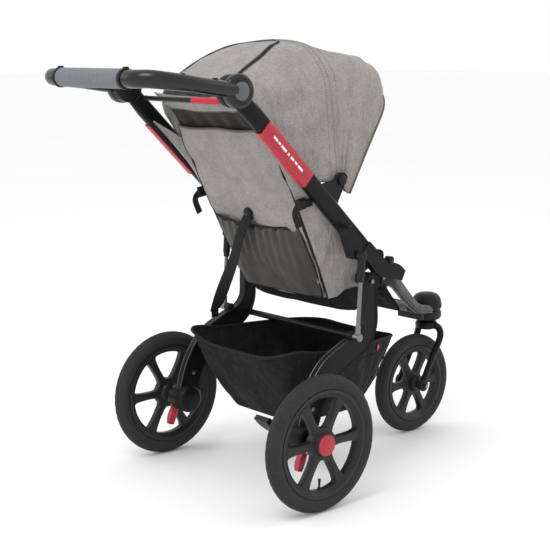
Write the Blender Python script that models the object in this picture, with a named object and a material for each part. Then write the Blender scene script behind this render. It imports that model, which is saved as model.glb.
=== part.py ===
"""Three-wheeled jogging stroller, in metres: +Z up, forward is -Y, the pusher's left is +X.

The origin is on the ground below the middle of the bounding box. Each real piece is one object.
"""

import math

import bmesh
import bpy
import numpy as np

# ---------------------------------------------------------------- driving dimensions
OVERALL_LENGTH = 1.243  # front tyre to the back of the grip
WHEELBASE = 0.657
TRACK = 0.623  # between the middles of the rear tyres
REAR_RADIUS = 0.170
FRONT_RADIUS = 0.1445
GAP = 0.0003  # between pieces that touch

FRONT_AXLE_Y = -OVERALL_LENGTH / 2 + FRONT_RADIUS
REAR_AXLE_Y = FRONT_AXLE_Y + WHEELBASE
STEERING_Y = FRONT_AXLE_Y - 0.058
REAR_AXLE = (REAR_AXLE_Y, REAR_RADIUS)
FRONT_AXLE = (FRONT_AXLE_Y, FRONT_RADIUS)

# lanes across the stroller, each as its inner and outer |x|
CANOPY_X = 0.186
CANOPY_SHOULDER = 0.085  # radius between the canopy's side and its top
FRAME_LANE = (0.2030, 0.2275)
LEG_LANE = (0.2285, 0.2515)
STRUT_X = 0.2640
ARM_LANE = (0.2195, 0.2430)

TUBE_FOOT = (-0.120, 0.545)  # (y, z) where the upper tube meets the casting
HUB = (0.365, 1.011)  # handle hub axis
TUBE_DEPTH = 0.044
LEG_PIVOT = (-0.052, 0.530)
STRUT_TOP = (0.000, 0.603)
STRUT_FOOT = (0.012, 0.398)
CANOPY_PIVOT = (0.010, 0.785)
RECLINE_AXIS = (0.014, 0.472)
BACKREST_TOP = (0.236, 0.912)
GRIP_Y = OVERALL_LENGTH / 2 - 0.0215
GRIP_Z = 1.040
FOLD_PIVOT = (-0.139, 0.573)  # above the joint, so the tube folds forward over the casting

tube_angle = math.atan2(HUB[1] - TUBE_FOOT[1], HUB[0] - TUBE_FOOT[0])
ALONG = (math.cos(tube_angle), math.sin(tube_angle))
ACROSS = (-ALONG[1], ALONG[0])  # up and forward, square to the tube
SIDES = (("left", 1), ("right", -1))

MATERIALS = {}
for each in list(bpy.data.objects):
    bpy.data.objects.remove(each, do_unlink=True)


# ---------------------------------------------------------------- helpers
def material(name, colour, roughness, metallic=0.0):
    made = bpy.data.materials.new(name)
    made.use_nodes = True
    shader = made.node_tree.nodes["Principled BSDF"]
    shader.inputs["Base Color"].default_value = (*colour, 1)
    shader.inputs["Roughness"].default_value = roughness
    shader.inputs["Metallic"].default_value = metallic
    MATERIALS[name] = made


material("frame_black", (0.030, 0.030, 0.032), 0.42, 0.3)
material("moulded_black", (0.025, 0.025, 0.027), 0.55)
material("wheel_plastic", (0.060, 0.060, 0.064), 0.50)
material("tyre_rubber", (0.040, 0.040, 0.043), 0.75)
material("foam_grey", (0.170, 0.190, 0.210), 0.80)
material("red_plastic", (0.560, 0.020, 0.035), 0.38)
material("bare_metal", (0.550, 0.550, 0.570), 0.30, 0.9)
material("heather_fabric", (0.400, 0.375, 0.350), 0.90)
material("mesh_fabric", (0.045, 0.040, 0.036), 0.90)
material("black_fabric", (0.018, 0.018, 0.019), 0.85)


def add(name, build, finish, smooth_angle=40):
    """A named object from a bmesh, with its faces outward and its sharp edges marked."""
    bmesh.ops.remove_doubles(build, verts=build.verts, dist=1e-6)
    bmesh.ops.recalc_face_normals(build, faces=build.faces)
    if build.calc_volume(signed=True) < 0:
        bmesh.ops.reverse_faces(build, faces=build.faces)
    mesh = bpy.data.meshes.new(name)
    build.to_mesh(mesh)
    build.free()
    mesh.shade_smooth()
    mesh.set_sharp_from_angle(angle=math.radians(smooth_angle))
    mesh.materials.append(MATERIALS[finish])
    made = bpy.data.objects.new(name, mesh)
    bpy.context.scene.collection.objects.link(made)
    return made


def loft(name, loops, finish, closed=False):
    """Skins equal-length loops of points; the end loops are capped unless the row closes on itself."""
    build = bmesh.new()
    rows = [[build.verts.new(point) for point in loop] for loop in loops]
    count = len(rows[0])
    pairs = list(zip(rows, rows[1:]))
    if closed:
        pairs.append((rows[-1], rows[0]))
    for first, second in pairs:
        for i in range(count):
            j = (i + 1) % count
            build.faces.new((first[i], first[j], second[j], second[i]))
    if not closed:
        build.faces.new(rows[0])
        build.faces.new(rows[-1])
    return add(name, build, finish)


def slab(name, outline, x_low, x_high, finish):
    """An outline in (y, z), extruded across the stroller."""
    return loft(name, [[(x, y, z) for y, z in outline] for x in (x_low, x_high)], finish)


def box(name, low, high, finish):
    outline = ((low[1], low[2]), (high[1], low[2]), (high[1], high[2]), (low[1], high[2]))
    return slab(name, outline, low[0], high[0], finish)


def arc(centre, radius, start, end, count):
    """Points (y, z) on an arc, angles in degrees from +Y towards +Z."""
    angles = np.radians(np.linspace(start, end, count))
    return [(centre[0] + radius * math.cos(a), centre[1] + radius * math.sin(a)) for a in angles]


def disc(name, centre, radius, x_low, x_high, finish, count=24):
    return slab(name, arc(centre, radius, -90, 270, count + 1)[:-1], x_low, x_high, finish)


def turned(name, profile, centre, finish, count):
    """A closed profile of (x, radius) points, turned about an axis along X through centre (y, z)."""
    loops = []
    for step in range(count):
        angle = 2 * math.pi * step / count - math.pi / 2
        direction = (math.cos(angle), math.sin(angle))
        loops.append([(x, centre[0] + r * direction[0], centre[1] + r * direction[1]) for x, r in profile])
    return loft(name, loops, finish, closed=True)


def spin_z(name, profile, centre, finish, count):
    """A solid of (radius, z) points from the axis out and back, turned about a vertical axis."""
    loops = []
    for radius, z in profile:
        angles = [2 * math.pi * step / count for step in range(count)]
        loops.append(
            [(centre[0] + radius * math.cos(a), centre[1] + radius * math.sin(a), z) for a in angles]
        )
    return loft(name, loops, finish)


def swept(name, points, radius, finish, sides=3):
    """A round bar along a smooth run of points."""
    curve = bpy.data.curves.new(name, "CURVE")
    curve.dimensions = "3D"
    curve.bevel_depth = radius
    curve.bevel_resolution = sides - 1
    curve.use_fill_caps = True
    spline = curve.splines.new("POLY")
    spline.points.add(len(points) - 1)
    for target, point in zip(spline.points, points):
        target.co = (*point, 1)
    spline.use_smooth = True
    curve.materials.append(MATERIALS[finish])
    made = bpy.data.objects.new(name, curve)
    bpy.context.scene.collection.objects.link(made)
    return made


def smooth_path(points, steps=4):
    """Catmull-Rom points through the given ones."""
    rows = [np.array(p, float) for p in points]
    rows = [2 * rows[0] - rows[1], *rows, 2 * rows[-1] - rows[-2]]
    path = []
    for a, b, c, d in zip(rows, rows[1:], rows[2:], rows[3:]):
        for t in np.arange(steps) / steps:
            path.append(
                0.5 * (
                    2 * b + (c - a) * t + (
                        2 * a - 5 * b + 4 * c - d
                    ) * t**2 + (3 * b - a - 3 * c + d) * t**3
                )
            )
    path.append(rows[-2])
    return [tuple(p) for p in path]


def boolean(target, other, operation):
    other.hide_render = True
    other.display_type = "WIRE"
    step = target.modifiers.new(operation.title(), "BOOLEAN")
    step.operation = operation
    step.object = other
    return target


def mirrored(points, sign):
    return [(sign * x, y, z) for x, y, z in points]


def span(sign, lane):
    """The lane's low and high x on one side."""
    return tuple(sorted((sign * lane[0], sign * lane[1])))


def on_tube(along, across=0.0):
    """(y, z) at a distance up the side tube from its foot, and square to it."""
    return (
        TUBE_FOOT[0] + along * ALONG[0] + across * ACROSS[0],
        TUBE_FOOT[1] + along * ALONG[1] + across * ACROSS[1],
    )


def band(centreline, widths):
    """An outline in (y, z) around a centreline, as wide at each point as widths says."""
    line = np.array(centreline, float)
    heading = np.gradient(line, axis=0)
    heading /= np.linalg.norm(heading, axis=1)[:, None]
    normal = np.stack([-heading[:, 1], heading[:, 0]], axis=1)
    half = np.array(widths)[:, None] / 2
    return [tuple(p) for p in line + normal * half] + [tuple(p) for p in (line - normal * half)[::-1]]


# ---------------------------------------------------------------- wheels
def tyre(name, x, axle, outer, section, finish="tyre_rubber"):
    """A round tyre with a flat bead where it sits on the rim."""
    middle = outer - section
    bead = math.radians(38)
    angles = np.linspace(-math.pi / 2 + bead, 3 * math.pi / 2 - bead, 11)
    profile = [(x + section * math.cos(a), middle + section * math.sin(a)) for a in angles]
    turned(name, profile, axle, finish, 40)
    return middle - section * math.cos(bead)


def rim(name, x, axle, seat, bore, hub_inner, hub_outer, hub_radius):
    """A moulded six-spoke rim: barrel, web and hub turned in one profile, then six windows cut."""
    barrel, web = 0.0155, 0.0100
    lip = seat - 0.018
    right = [
        (hub_outer, bore), (hub_outer, hub_radius), (web, hub_radius + 0.004), (web, lip), (barrel, lip),
        (barrel, seat)
    ]
    left = [
        (-barrel, seat), (-barrel, lip), (-web, lip), (-web, hub_radius + 0.004), (-hub_inner, hub_radius),
        (-hub_inner, bore)
    ]
    side = 1 if x > 0 else -1
    made = turned(name, [(x + side * dx, r) for dx, r in right + left], axle, "wheel_plastic", 40)
    spoke = 0.026
    windows = bmesh.new()
    for k in range(6):
        middle = math.radians(60 * k + 30)
        inner, outer = hub_radius + 0.012, lip - 0.002
        corners = []
        for radius, sign in ((inner, -1), (outer, -1), (outer, 0), (outer, 1), (inner, 1)):
            opening = max(0.0, math.radians(30) - math.asin(spoke / 2 / radius)) * sign
            angle = middle + opening
            corners.append((axle[0] + radius * math.cos(angle), axle[1] + radius * math.sin(angle)))
        rows = [[windows.verts.new((x + dx, y, z)) for y, z in corners] for dx in (-0.05, 0.05)]
        for i in range(5):
            j = (i + 1) % 5
            windows.faces.new((rows[0][i], rows[0][j], rows[1][j], rows[1][i]))
        windows.faces.new(rows[0])
        windows.faces.new(rows[1])
    return boolean(made, add(name + "_windows", windows, "wheel_plastic"), "DIFFERENCE")


def rear_wheels():
    for side, sign in SIDES:
        x = sign * TRACK / 2
        seat = tyre(f"rear_tyre_{side}", x, REAR_AXLE, REAR_RADIUS, 0.0205)
        rim(f"rear_rim_{side}", x, REAR_AXLE, seat - GAP, 0.0068, 0.022, 0.020, 0.030)
        disc(
            f"hub_cap_{side}", REAR_AXLE, 0.026, *span(sign, (TRACK / 2 + 0.0203, TRACK / 2 + 0.0250)),
            "red_plastic"
        )
        disc(
            f"rear_axle_{side}", REAR_AXLE, 0.0065, *span(sign, (0.2722, TRACK / 2 + 0.0198)), "bare_metal",
            16
        )
        lever = band([(0.192, 0.133), (0.203, 0.112), (0.207, 0.094)], (0.018, 0.020, 0.014))
        slab(f"release_lever_{side}", lever, *span(sign, (0.2540, 0.2690)), "red_plastic")


def front_wheel():
    seat = tyre("front_tyre", 0.0, FRONT_AXLE, FRONT_RADIUS, 0.0195)
    rim("front_rim", 0.0, FRONT_AXLE, seat - GAP, 0.0053, 0.026, 0.026, 0.024)
    disc("front_axle", FRONT_AXLE, 0.0050, -0.060, 0.060, "bare_metal", 14)


# ---------------------------------------------------------------- steering
def fork():
    """Crown under the nose with a bent tube each side, curving over the wheel and back to the axle."""
    crown = spin_z(
        "front_fork", [(0.024, 0.300), (0.031, 0.304), (0.031, 0.322), (0.018, 0.326)], (0, STEERING_Y),
        "moulded_black", 20
    )
    for side, sign in SIDES:
        run = [
            (0.016, -0.530, 0.312), (0.036, -0.545, 0.306), (0.044, -0.549, 0.284), (0.044, -0.512, 0.222),
            (0.044, -0.4795, 0.1575)
        ]
        leg = swept(f"fork_leg_{side}", smooth_path(mirrored(run, sign), 3), 0.0095, "frame_black")
        boolean(crown, as_mesh(leg), "UNION")
        eye = turned(
            f"fork_eye_{side}",
            [(sign * 0.034, 0.0053), (sign * 0.034, 0.017), (sign * 0.054, 0.017), (sign * 0.054, 0.0053)],
            FRONT_AXLE, "moulded_black", 16
        )
        boolean(crown, eye, "UNION")


def as_mesh(curve_object):
    """The curve's tube as a mesh object, since a Boolean takes only meshes."""
    graph = bpy.context.evaluated_depsgraph_get()
    mesh = bpy.data.meshes.new_from_object(curve_object.evaluated_get(graph))
    build = bmesh.new()
    build.from_mesh(mesh)
    name = curve_object.name + "_tube"
    bpy.data.objects.remove(curve_object)
    return add(name, build, "frame_black")


def nose():
    """The steering head, and the domed knob on it that locks the swivel."""
    spin_z(
        "nose_block",
        [(0.020, 0.3265), (0.040, 0.330), (0.043, 0.338), (0.043, 0.352), (0.030, 0.356)],
        (0, STEERING_Y),
        "moulded_black",
        24,
    )
    spin_z(
        "swivel_lock_knob",
        [(0.034, 0.3565), (0.042, 0.360), (0.0425, 0.380), (0.037, 0.395), (0.024, 0.404), (0.008, 0.4065)],
        (0, STEERING_Y),
        "moulded_black",
        24,
    )


# ---------------------------------------------------------------- front frame
def castings():
    """Side castings: a deep plate at the fold joint that narrows forward and inward to the nose."""
    stations = (  # y, |x| of the middle, bottom z, top z, thickness
        (-0.1105, 0.2152, 0.510, 0.5655, 0.0245),
        (-0.165, 0.2080, 0.496, 0.5390, 0.0245),
        (-0.200, 0.1930, 0.476, 0.5195, 0.0240),
        (-0.280, 0.1500, 0.431, 0.4710, 0.0230),
        (-0.385, 0.1000, 0.379, 0.4090, 0.0220),
        (-0.470, 0.0640, 0.362, 0.3860, 0.0220),
        (-0.488, 0.0560, 0.358, 0.3800, 0.0200),
    )
    for side, sign in SIDES:
        loops = []
        for y, x, low, high, thick in stations:
            inner, outer = sign * (x - thick / 2), sign * (x + thick / 2)
            loops.append([(inner, y, low), (outer, y, low), (outer, y, high), (inner, y, high)])
        made = loft(f"casting_{side}", loops, "frame_black")
        lug = [(-0.130, 0.545), (-0.130, 0.510), *arc(LEG_PIVOT, 0.018, -110, 90, 7), (-0.092, 0.536)]
        lug_solid = slab(f"casting_lug_{side}", lug, *span(sign, (0.2062, 0.2258)), "frame_black")
        boolean(made, lug_solid, "UNION")
        ear = [(-0.151, 0.540), (-0.126, 0.545), *arc(FOLD_PIVOT, 0.009, -20, 200, 9)]
        boolean(
            made, slab(f"casting_ear_{side}", ear, *span(sign, (0.2158, FRAME_LANE[1])), "frame_black"),
            "UNION"
        )
        pin = disc(
            f"fold_pin_{side}", FOLD_PIVOT, 0.0048, *span(sign, (FRAME_LANE[0], 0.2200)), "bare_metal", 12
        )
        boolean(made, pin, "UNION")
    nose_ends = STEERING_Y + 0.0434
    bridge = [
        (-0.0455, -0.470), (0.0455, -0.470), (0.036, nose_ends + 0.012), (0, nose_ends),
        (-0.036, nose_ends + 0.012)
    ]
    loft("nose_bridge", [[(x, y, z) for x, y in bridge] for z in (0.3380, 0.3800)], "moulded_black")
    swept("seat_cross_bar", [(-0.196, -0.150, 0.512), (0.196, -0.150, 0.512)], 0.008, "frame_black")
    swept("footrest_bar", [(-0.077, -0.398, 0.388), (0.077, -0.398, 0.388)], 0.011, "moulded_black")


# ---------------------------------------------------------------- upper frame
def side_tubes():
    """Flat-oval side tubes from the fold joint up to the handle hubs, with strut and canopy brackets."""
    length = math.dist(TUBE_FOOT, HUB)
    for side, sign in SIDES:
        loops = []
        for along, high in (
            (0.022, FRAME_LANE[1]), (length - 0.075, FRAME_LANE[1]), (length - 0.042, 0.2188),
            (length, 0.2188)
        ):
            half = TUBE_DEPTH / 2
            corner = 0.007
            low = FRAME_LANE[0]
            ring = [
                (low + corner, -half), (
                    high - corner, -half
                ), (high, -half + corner), (high, half - corner),
                (high - corner, half), (low + corner, half), (low, half - corner), (low, -half + corner),
            ]
            loops.append([(sign * x, *on_tube(along, across)) for x, across in ring])
        tube = loft(f"side_tube_{side}", loops, "frame_black")
        boss = disc(f"hub_boss_{side}", HUB, 0.0375, *span(sign, (0.1930, 0.2190)), "moulded_black")
        boolean(tube, boss, "UNION")
        ear = [on_tube(0.028, 0.012), on_tube(0.050, 0.012), *arc(FOLD_PIVOT, 0.009, 60, 240, 8)]
        boolean(
            tube, slab(f"tube_ear_{side}", ear, *span(sign, (FRAME_LANE[0], 0.2154)), "frame_black"),
            "UNION"
        )
        bore = disc(f"fold_bore_{side}", FOLD_PIVOT, 0.0053, *span(sign, (0.19, 0.24)), "frame_black", 12)
        boolean(tube, bore, "DIFFERENCE")
        low, high = span(sign, (0.2200, 0.2530))
        bracket = [
            (-0.020, 0.640), (-0.014, 0.600), (-0.006, 0.592), (0.006, 0.592), (0.014, 0.600),
            (0.040, 0.670), (0.015, 0.675)
        ]
        boolean(tube, slab(f"strut_bracket_{side}", bracket, low, high, "moulded_black"), "UNION")
        arm = [on_tube(0.232, 0.002), on_tube(0.302, 0.002), *arc(CANOPY_PIVOT, 0.018, 10, 160, 9)]
        slab(f"canopy_bracket_{side}", arm, *span(sign, (0.1935, 0.2027)), "moulded_black")
        plate_panel(side, sign)
    swept(
        "rear_bow",
        smooth_path(
            [
                (-0.1925, 0.318, 0.985), (-0.150, 0.338, 0.985), (0, 0.346, 0.985), (0.150, 0.338, 0.985),
                (0.1925, 0.318, 0.985)
            ],
            3
        ),
        0.006, "frame_black"
    )


def plate_panel(side, sign):
    """A red cover plate on the outer and rear faces of the upper tube."""
    inner_x, outer_x = FRAME_LANE[1] + GAP, FRAME_LANE[1] + 0.0028
    rear, front = -TUBE_DEPTH / 2 - GAP, TUBE_DEPTH / 2 - 0.004
    section = [
        (inner_x, front), (outer_x, front), (outer_x, rear - 0.0025),
        (FRAME_LANE[0] + 0.006, rear - 0.0025), (FRAME_LANE[0] + 0.006, rear), (inner_x, rear),
    ]
    loops = [[(sign * x, *on_tube(along, across)) for x, across in section] for along in (0.365, 0.555)]
    loft(f"side_panel_{side}", loops, "red_plastic")


# ---------------------------------------------------------------- rear legs
def rear_legs():
    """A flat upright from the pivot down to the knee, then a wide band back to the axle housing."""
    centre = [
        LEG_PIVOT, (-0.052, 0.470), (-0.052, 0.415), (-0.022, 0.380), (0.040, 0.352), (0.098, 0.318),
        (0.138, 0.262), (0.160, 0.205), (0.168, 0.175)
    ]
    widths = (0.038, 0.038, 0.042, 0.052, 0.060, 0.066, 0.066, 0.064, 0.060)
    for side, sign in SIDES:
        outline = band(centre, widths)
        top = arc(LEG_PIVOT, 0.019, 0, 180, 7)
        outline = outline[1:-1] + top[::-1]
        leg = slab(f"rear_leg_{side}", outline, *span(sign, LEG_LANE), "frame_black")
        boolean(
            leg, disc(f"bearing_{side}", REAR_AXLE, 0.034, *span(sign, (0.2300, 0.2720)), "moulded_black"),
            "UNION"
        )
        boolean(
            leg, disc(f"housing_{side}", REAR_AXLE, 0.036, *span(sign, (0.2000, 0.2400)), "moulded_black"),
            "UNION"
        )
        boolean(
            leg,
            disc(
                f"strut_lug_{side}", STRUT_FOOT, 0.011, *span(sign, (0.2350, 0.2530)), "moulded_black", 12
            ),
            "UNION"
        )
    swept("leg_cross_tube", [(-0.2282, -0.052, 0.378), (0.2282, -0.052, 0.378)], 0.009, "frame_black")
    pedal = band([(REAR_AXLE_Y, REAR_RADIUS), (0.215, 0.186), (0.250, 0.216)], (0.030, 0.020, 0.014))
    slab("brake_pedal", pedal, -0.1996, -0.152, "moulded_black")


def struts():
    """Fold struts: a bare rod with a thicker sleeve at its upper end and a ball eye at each end."""
    top, foot = np.array(STRUT_TOP), np.array(STRUT_FOOT)
    heading = (foot - top) / np.linalg.norm(foot - top)
    joint = top + heading * 0.066
    for side, sign in SIDES:
        x = sign * STRUT_X
        sleeve = as_mesh(
            swept(f"sleeve_{side}", [(x, *(top + heading * 0.006)), (x, *joint)], 0.0098, "bare_metal", 4)
        )
        sleeve.name = f"strut_sleeve_{side}"
        boolean(
            sleeve,
            disc(f"upper_eye_{side}", STRUT_TOP, 0.0105, *span(sign, (0.2536, 0.2744)), "bare_metal", 16),
            "UNION"
        )
        rod = as_mesh(
            swept(f"rod_{side}", [(x, *(joint + heading * GAP)), (x, *foot)], 0.0052, "bare_metal", 4)
        )
        rod.name = f"strut_rod_{side}"
        boolean(
            rod,
            disc(f"lower_eye_{side}", STRUT_FOOT, 0.0100, *span(sign, (0.2536, 0.2744)), "bare_metal", 16),
            "UNION"
        )


# ---------------------------------------------------------------- handle
def handle():
    """A U-shaped bar whose arms end in the hub discs, with a foam grip between two collars."""
    half = [
        (
            0.2305, HUB[0], HUB[1] + 0.003
        ), (0.2300, 0.430, 1.020), (0.2260, 0.500, 1.030), (0.2160, 0.550, 1.036),
        (0.1950, 0.583, GRIP_Z), (
            0.1700, 0.5975, GRIP_Z
        ), (0.1480, GRIP_Y, GRIP_Z), (0.1380, GRIP_Y, GRIP_Z), (0.1000, GRIP_Y, GRIP_Z),
    ]
    run = smooth_path(mirrored(half, 1) + mirrored(half[::-1], -1), 2)
    bar = as_mesh(swept("bar", run, 0.0172, "moulded_black", 4))
    bar.name = "handlebar"
    flat = box("arm_trim", (-0.2437, 0.2, 0.9), (0.2437, 0.7, 1.1), "moulded_black")
    boolean(bar, flat, "INTERSECT")
    for side, sign in SIDES:
        boolean(
            bar, disc(f"hub_disc_{side}", HUB, 0.0385, *span(sign, ARM_LANE), "moulded_black", 28), "UNION"
        )
        near, far = span(sign, (0.15, ARM_LANE[0]))
        room = box(f"tube_room_{side}", (near, 0.30, 0.94), (far, HUB[0] + 0.050, 1.08), "moulded_black")
        boolean(bar, room, "DIFFERENCE")
        boolean(
            bar, disc(f"button_well_{side}", HUB, 0.0220, *span(sign, (0.2330, 0.2600)), "moulded_black"),
            "DIFFERENCE"
        )
        disc(f"hub_button_{side}", HUB, 0.0214, *span(sign, (0.2372, 0.2462)), "foam_grey")
        ring = [
            (sign * 0.1285, 0.0178), (sign * 0.1285, 0.0212), (sign * 0.1375, 0.0212),
            (sign * 0.1375, 0.0178)
        ]
        turned(f"grip_collar_{side}", ring, (GRIP_Y, GRIP_Z), "moulded_black", 20)
    sleeve = [(-0.1280, 0.0178), (-0.1280, 0.0215), (0.1280, 0.0215), (0.1280, 0.0178)]
    turned("handle_grip", sleeve, (GRIP_Y, GRIP_Z), "foam_grey", 24)


# ---------------------------------------------------------------- soft parts
def on_back(along, out=0.0):
    """(y, z) at a share of the backrest's height, and square to it, out of its rear face."""
    foot, top = np.array(RECLINE_AXIS), np.array(BACKREST_TOP)
    heading = (top - foot) / np.linalg.norm(top - foot)
    point = foot + (top - foot) * along + np.array([heading[1], -heading[0]]) * out
    return tuple(point)


def backrest():
    loops = []
    for along, half in ((0.03, 0.158), (0.25, 0.168), (0.60, 0.176), (0.92, 0.178), (1.0, 0.168)):
        rear, front = on_back(along, -0.001), on_back(along, -0.029)
        loops.append([(-half, *rear), (half, *rear), (half, *front), (-half, *front)])
    loft("backrest", loops, "heather_fabric")
    loops = []
    for along, half, depth in (
        (0.035, 0.150, 0.006), (0.20, 0.160, 0.020), (0.38, 0.164, 0.016), (0.46, 0.160, 0.008)
    ):
        rear, front = on_back(along, depth), on_back(along, 0.0)
        loops.append([(-half, *rear), (half, *rear), (half, *front), (-half, *front)])
    loft("mesh_pocket", loops, "mesh_fabric")
    centre = on_back(0.515, 0.0)
    heading = np.array([0.0, *on_back(1, 1)]) - np.array([0.0, *on_back(1, 0)])
    start = np.array([0.012, *centre])
    knob = as_mesh(
        swept("knob", [tuple(start + heading * d) for d in (0.0008, 0.016)], 0.013, "moulded_black", 3)
    )
    knob.name = "cord_lock"


def seat():
    """Seat base, calf panel and the harness buckle."""
    base = [
        (-0.002, 0.488), (-0.010, 0.452), (-0.070, 0.432), (-0.125, 0.438), (-0.205, 0.462),
        (-0.232, 0.478), (-0.228, 0.496), (-0.205, 0.503), (-0.180, 0.5035)
    ]
    loops = []
    for sign in (-1, 1):
        loops.append([(sign * (0.150 if y > -0.1 else 0.132), y, z) for y, z in base])
    build = loft("seat_base", loops, "heather_fabric")
    cut = disc("seat_bar_room", (-0.150, 0.512), 0.0115, -0.25, 0.25, "heather_fabric", 12)
    boolean(build, cut, "DIFFERENCE")
    calf = [(-0.2360, 0.482), (-0.2360, 0.470), (-0.305, 0.396), (-0.314, 0.404), (-0.246, 0.482)]
    slab("calf_panel", calf, -0.105, 0.105, "heather_fabric")
    buckle = box("harness_buckle", (-0.021, -0.098, 0.5400), (0.021, -0.080, 0.585), "moulded_black")
    boolean(
        buckle, box("button_well", (-0.0095, -0.110, 0.5525), (0.0095, -0.094, 0.5725), "moulded_black"),
        "DIFFERENCE"
    )
    box("crotch_strap", (-0.013, -0.0905, 0.4965), (0.013, -0.0875, 0.5397), "black_fabric")
    box("buckle_button", (-0.009, -0.1010, 0.553), (0.009, -0.0965, 0.572), "red_plastic")


def wings():
    """Fabric between the backrest's edge and the side tube, one each side."""
    # From the seat up: (point on the backrest's edge, its x, point by the side tube, its x)
    seams = [
        (on_back(0.02, -0.012), 0.172, on_tube(0.030, -0.016), 0.195),
        (on_back(0.45, -0.012), 0.184, on_tube(0.30, -0.012), 0.195),
        (on_back(0.91, -0.012), 0.184, on_tube(0.560, -0.012), 0.195),
    ]
    thick = 0.005
    for side, sign in SIDES:
        rows = []
        for rear, rear_x, tube, tube_x in seams:
            corners = [(rear_x, rear), (tube_x, tube), (tube_x + thick, tube), (rear_x + thick, rear)]
            rows.append([(sign * x, y, z) for x, (y, z) in corners])
        loft(f"side_wing_{side}", rows, "heather_fabric")


def hoop(foot, top, lift, reach, bulge=0.0, skin=0.0):
    """Points over the canopy from the left foot to the right, in a plane that holds foot and top (y, z).

    The crown rises by lift above the shoulders and runs forward by reach, and the sides bow forward by bulge.
    """
    foot, top = np.array(foot), np.array(top)
    length = math.dist(foot, top)
    heading = (top - foot) / length
    forward = np.array([-heading[1], heading[0]])
    wide, high, shoulder = CANOPY_X - skin, length - skin, CANOPY_SHOULDER - skin
    half = [(wide, 0.0), (wide, (high - shoulder) / 2)]
    for turn in np.linspace(0, math.pi / 2, 5):
        half.append((wide - shoulder * (1 - math.cos(turn)), high - shoulder * (1 - math.sin(turn))))
    half += [(0.050, high + 0.75 * lift), (0.0, high + lift)]
    points = []
    for x, up in half + [(-x, up) for x, up in half[-2::-1]]:
        ahead = bulge * math.sin(math.pi * min(up / high, 1)) + reach * (1 - abs(x) / wide)
        points.append((x, *(foot + heading * up + forward * ahead)))
    return points


def canopy_shell(name, rows):
    """A thin hood panel through hoops, each (foot, top, lift, reach, bulge)."""
    skin = 0.005
    loops = [hoop(*row) + hoop(*row, skin=skin)[::-1] for row in rows]
    return loft(name, loops, "heather_fabric")


def canopy():
    """Rear hood up to the middle rib, main panel ahead of it, and the visor at the front."""
    canopy_shell("canopy_hood", [
        (on_tube(0.555, 0.034), (0.300, 1.006), 0.034, 0.0, 0.0),
        (on_tube(0.460, 0.018), (0.226, 1.046), 0.034, 0.0, 0.0),
        (on_tube(0.370, 0.012), (0.140, 1.079), 0.036, 0.0, 0.0),
        ((0.012, 0.800), (0.045, 1.094), 0.034, 0.0, 0.0),
    ])
    canopy_shell("canopy_main", [
        ((0.009, 0.799), (0.042, 1.094), 0.034, 0.0, 0.0),
        ((-0.003, 0.790), (-0.050, 1.088), 0.026, 0.010, 0.0),
        ((-0.013, 0.780), (-0.119, 1.086), 0.012, 0.026, 0.002),
    ])
    canopy_shell("canopy_visor", [
        ((-0.016, 0.779), (-0.124, 1.086), 0.012, 0.027, 0.002),
        ((-0.020, 0.772), (-0.167, 1.064), 0.008, 0.040, 0.002),
        ((-0.026, 0.766), (-0.186, 1.006), 0.006, 0.048, -0.002),
    ])


def basket():
    """An open bag: each row is (share of height, rear y, front y, rear half width, front half width, z)."""
    rim_z = {
        0: 0.370, 1: 0.345, 2: 0.342, 3: 0.345, 4: 0.370, 5: 0.372, 6: 0.356, 7: 0.352, 8: 0.346, 9: 0.340,
        10: 0.346, 11: 0.352, 12: 0.356, 13: 0.372
    }
    top = [
        (0.203, 0.186), (0.110, 0.190), (0, 0.191), (-0.110, 0.190), (-0.203, 0.186), (-0.204, 0.080), (
            -0.200, -0.050
        ),
        (
            -0.175, -0.170
        ), (-0.140, -0.245), (0, -0.252), (0.140, -0.245), (0.175, -0.170), (0.200, -0.050), (0.204, 0.080),
    ]
    foot = [
        (0.120, 0.095), (0.070, 0.098), (0, 0.098), (-0.070, 0.098), (-0.120, 0.095), (-0.128, 0.040), (
            -0.128, -0.040
        ),
        (
            -0.122, -0.110
        ), (-0.105, -0.155), (0, -0.160), (0.105, -0.155), (0.122, -0.110), (0.128, -0.040), (0.128, 0.040),
    ]
    skin, foot_z = 0.004, 0.158
    def row(share, inset, lift=0.0):
        points = []
        for k, ((tx, ty), (fx, fy)) in enumerate(zip(top, foot)):
            x, y = fx + (tx - fx) * share**0.75, fy + (ty - fy) * share
            shrink_x, shrink_y = 1 - inset / 0.16, 1 - inset / 0.18
            z = foot_z + (rim_z[k] - foot_z) * share + lift
            points.append((x * shrink_x, -0.03 + (y + 0.03) * shrink_y, z))
        return points
    outer = [row(0, 0.020, -0.004), row(0.08, 0), row(0.5, 0), row(1, 0)]
    inner = [row(1, skin), row(0.5, skin), row(0.08, skin, 0.002), row(0, 0.024, 0.0)]
    loft("storage_basket", outer + inner, "black_fabric")


rear_wheels()
front_wheel()
fork()
nose()
castings()
side_tubes()
rear_legs()
struts()
handle()
backrest()
seat()
wings()
canopy()
basket()
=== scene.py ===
"""Looks of the jogging stroller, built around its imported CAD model, in metres and in the same frame.

+Z is up, forward is -Y and the pusher's left is +X. Plain CAD solids are replaced by detailed pieces.
"""

import math

import bmesh
import bpy
import numpy as np
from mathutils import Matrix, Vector, noise


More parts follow.
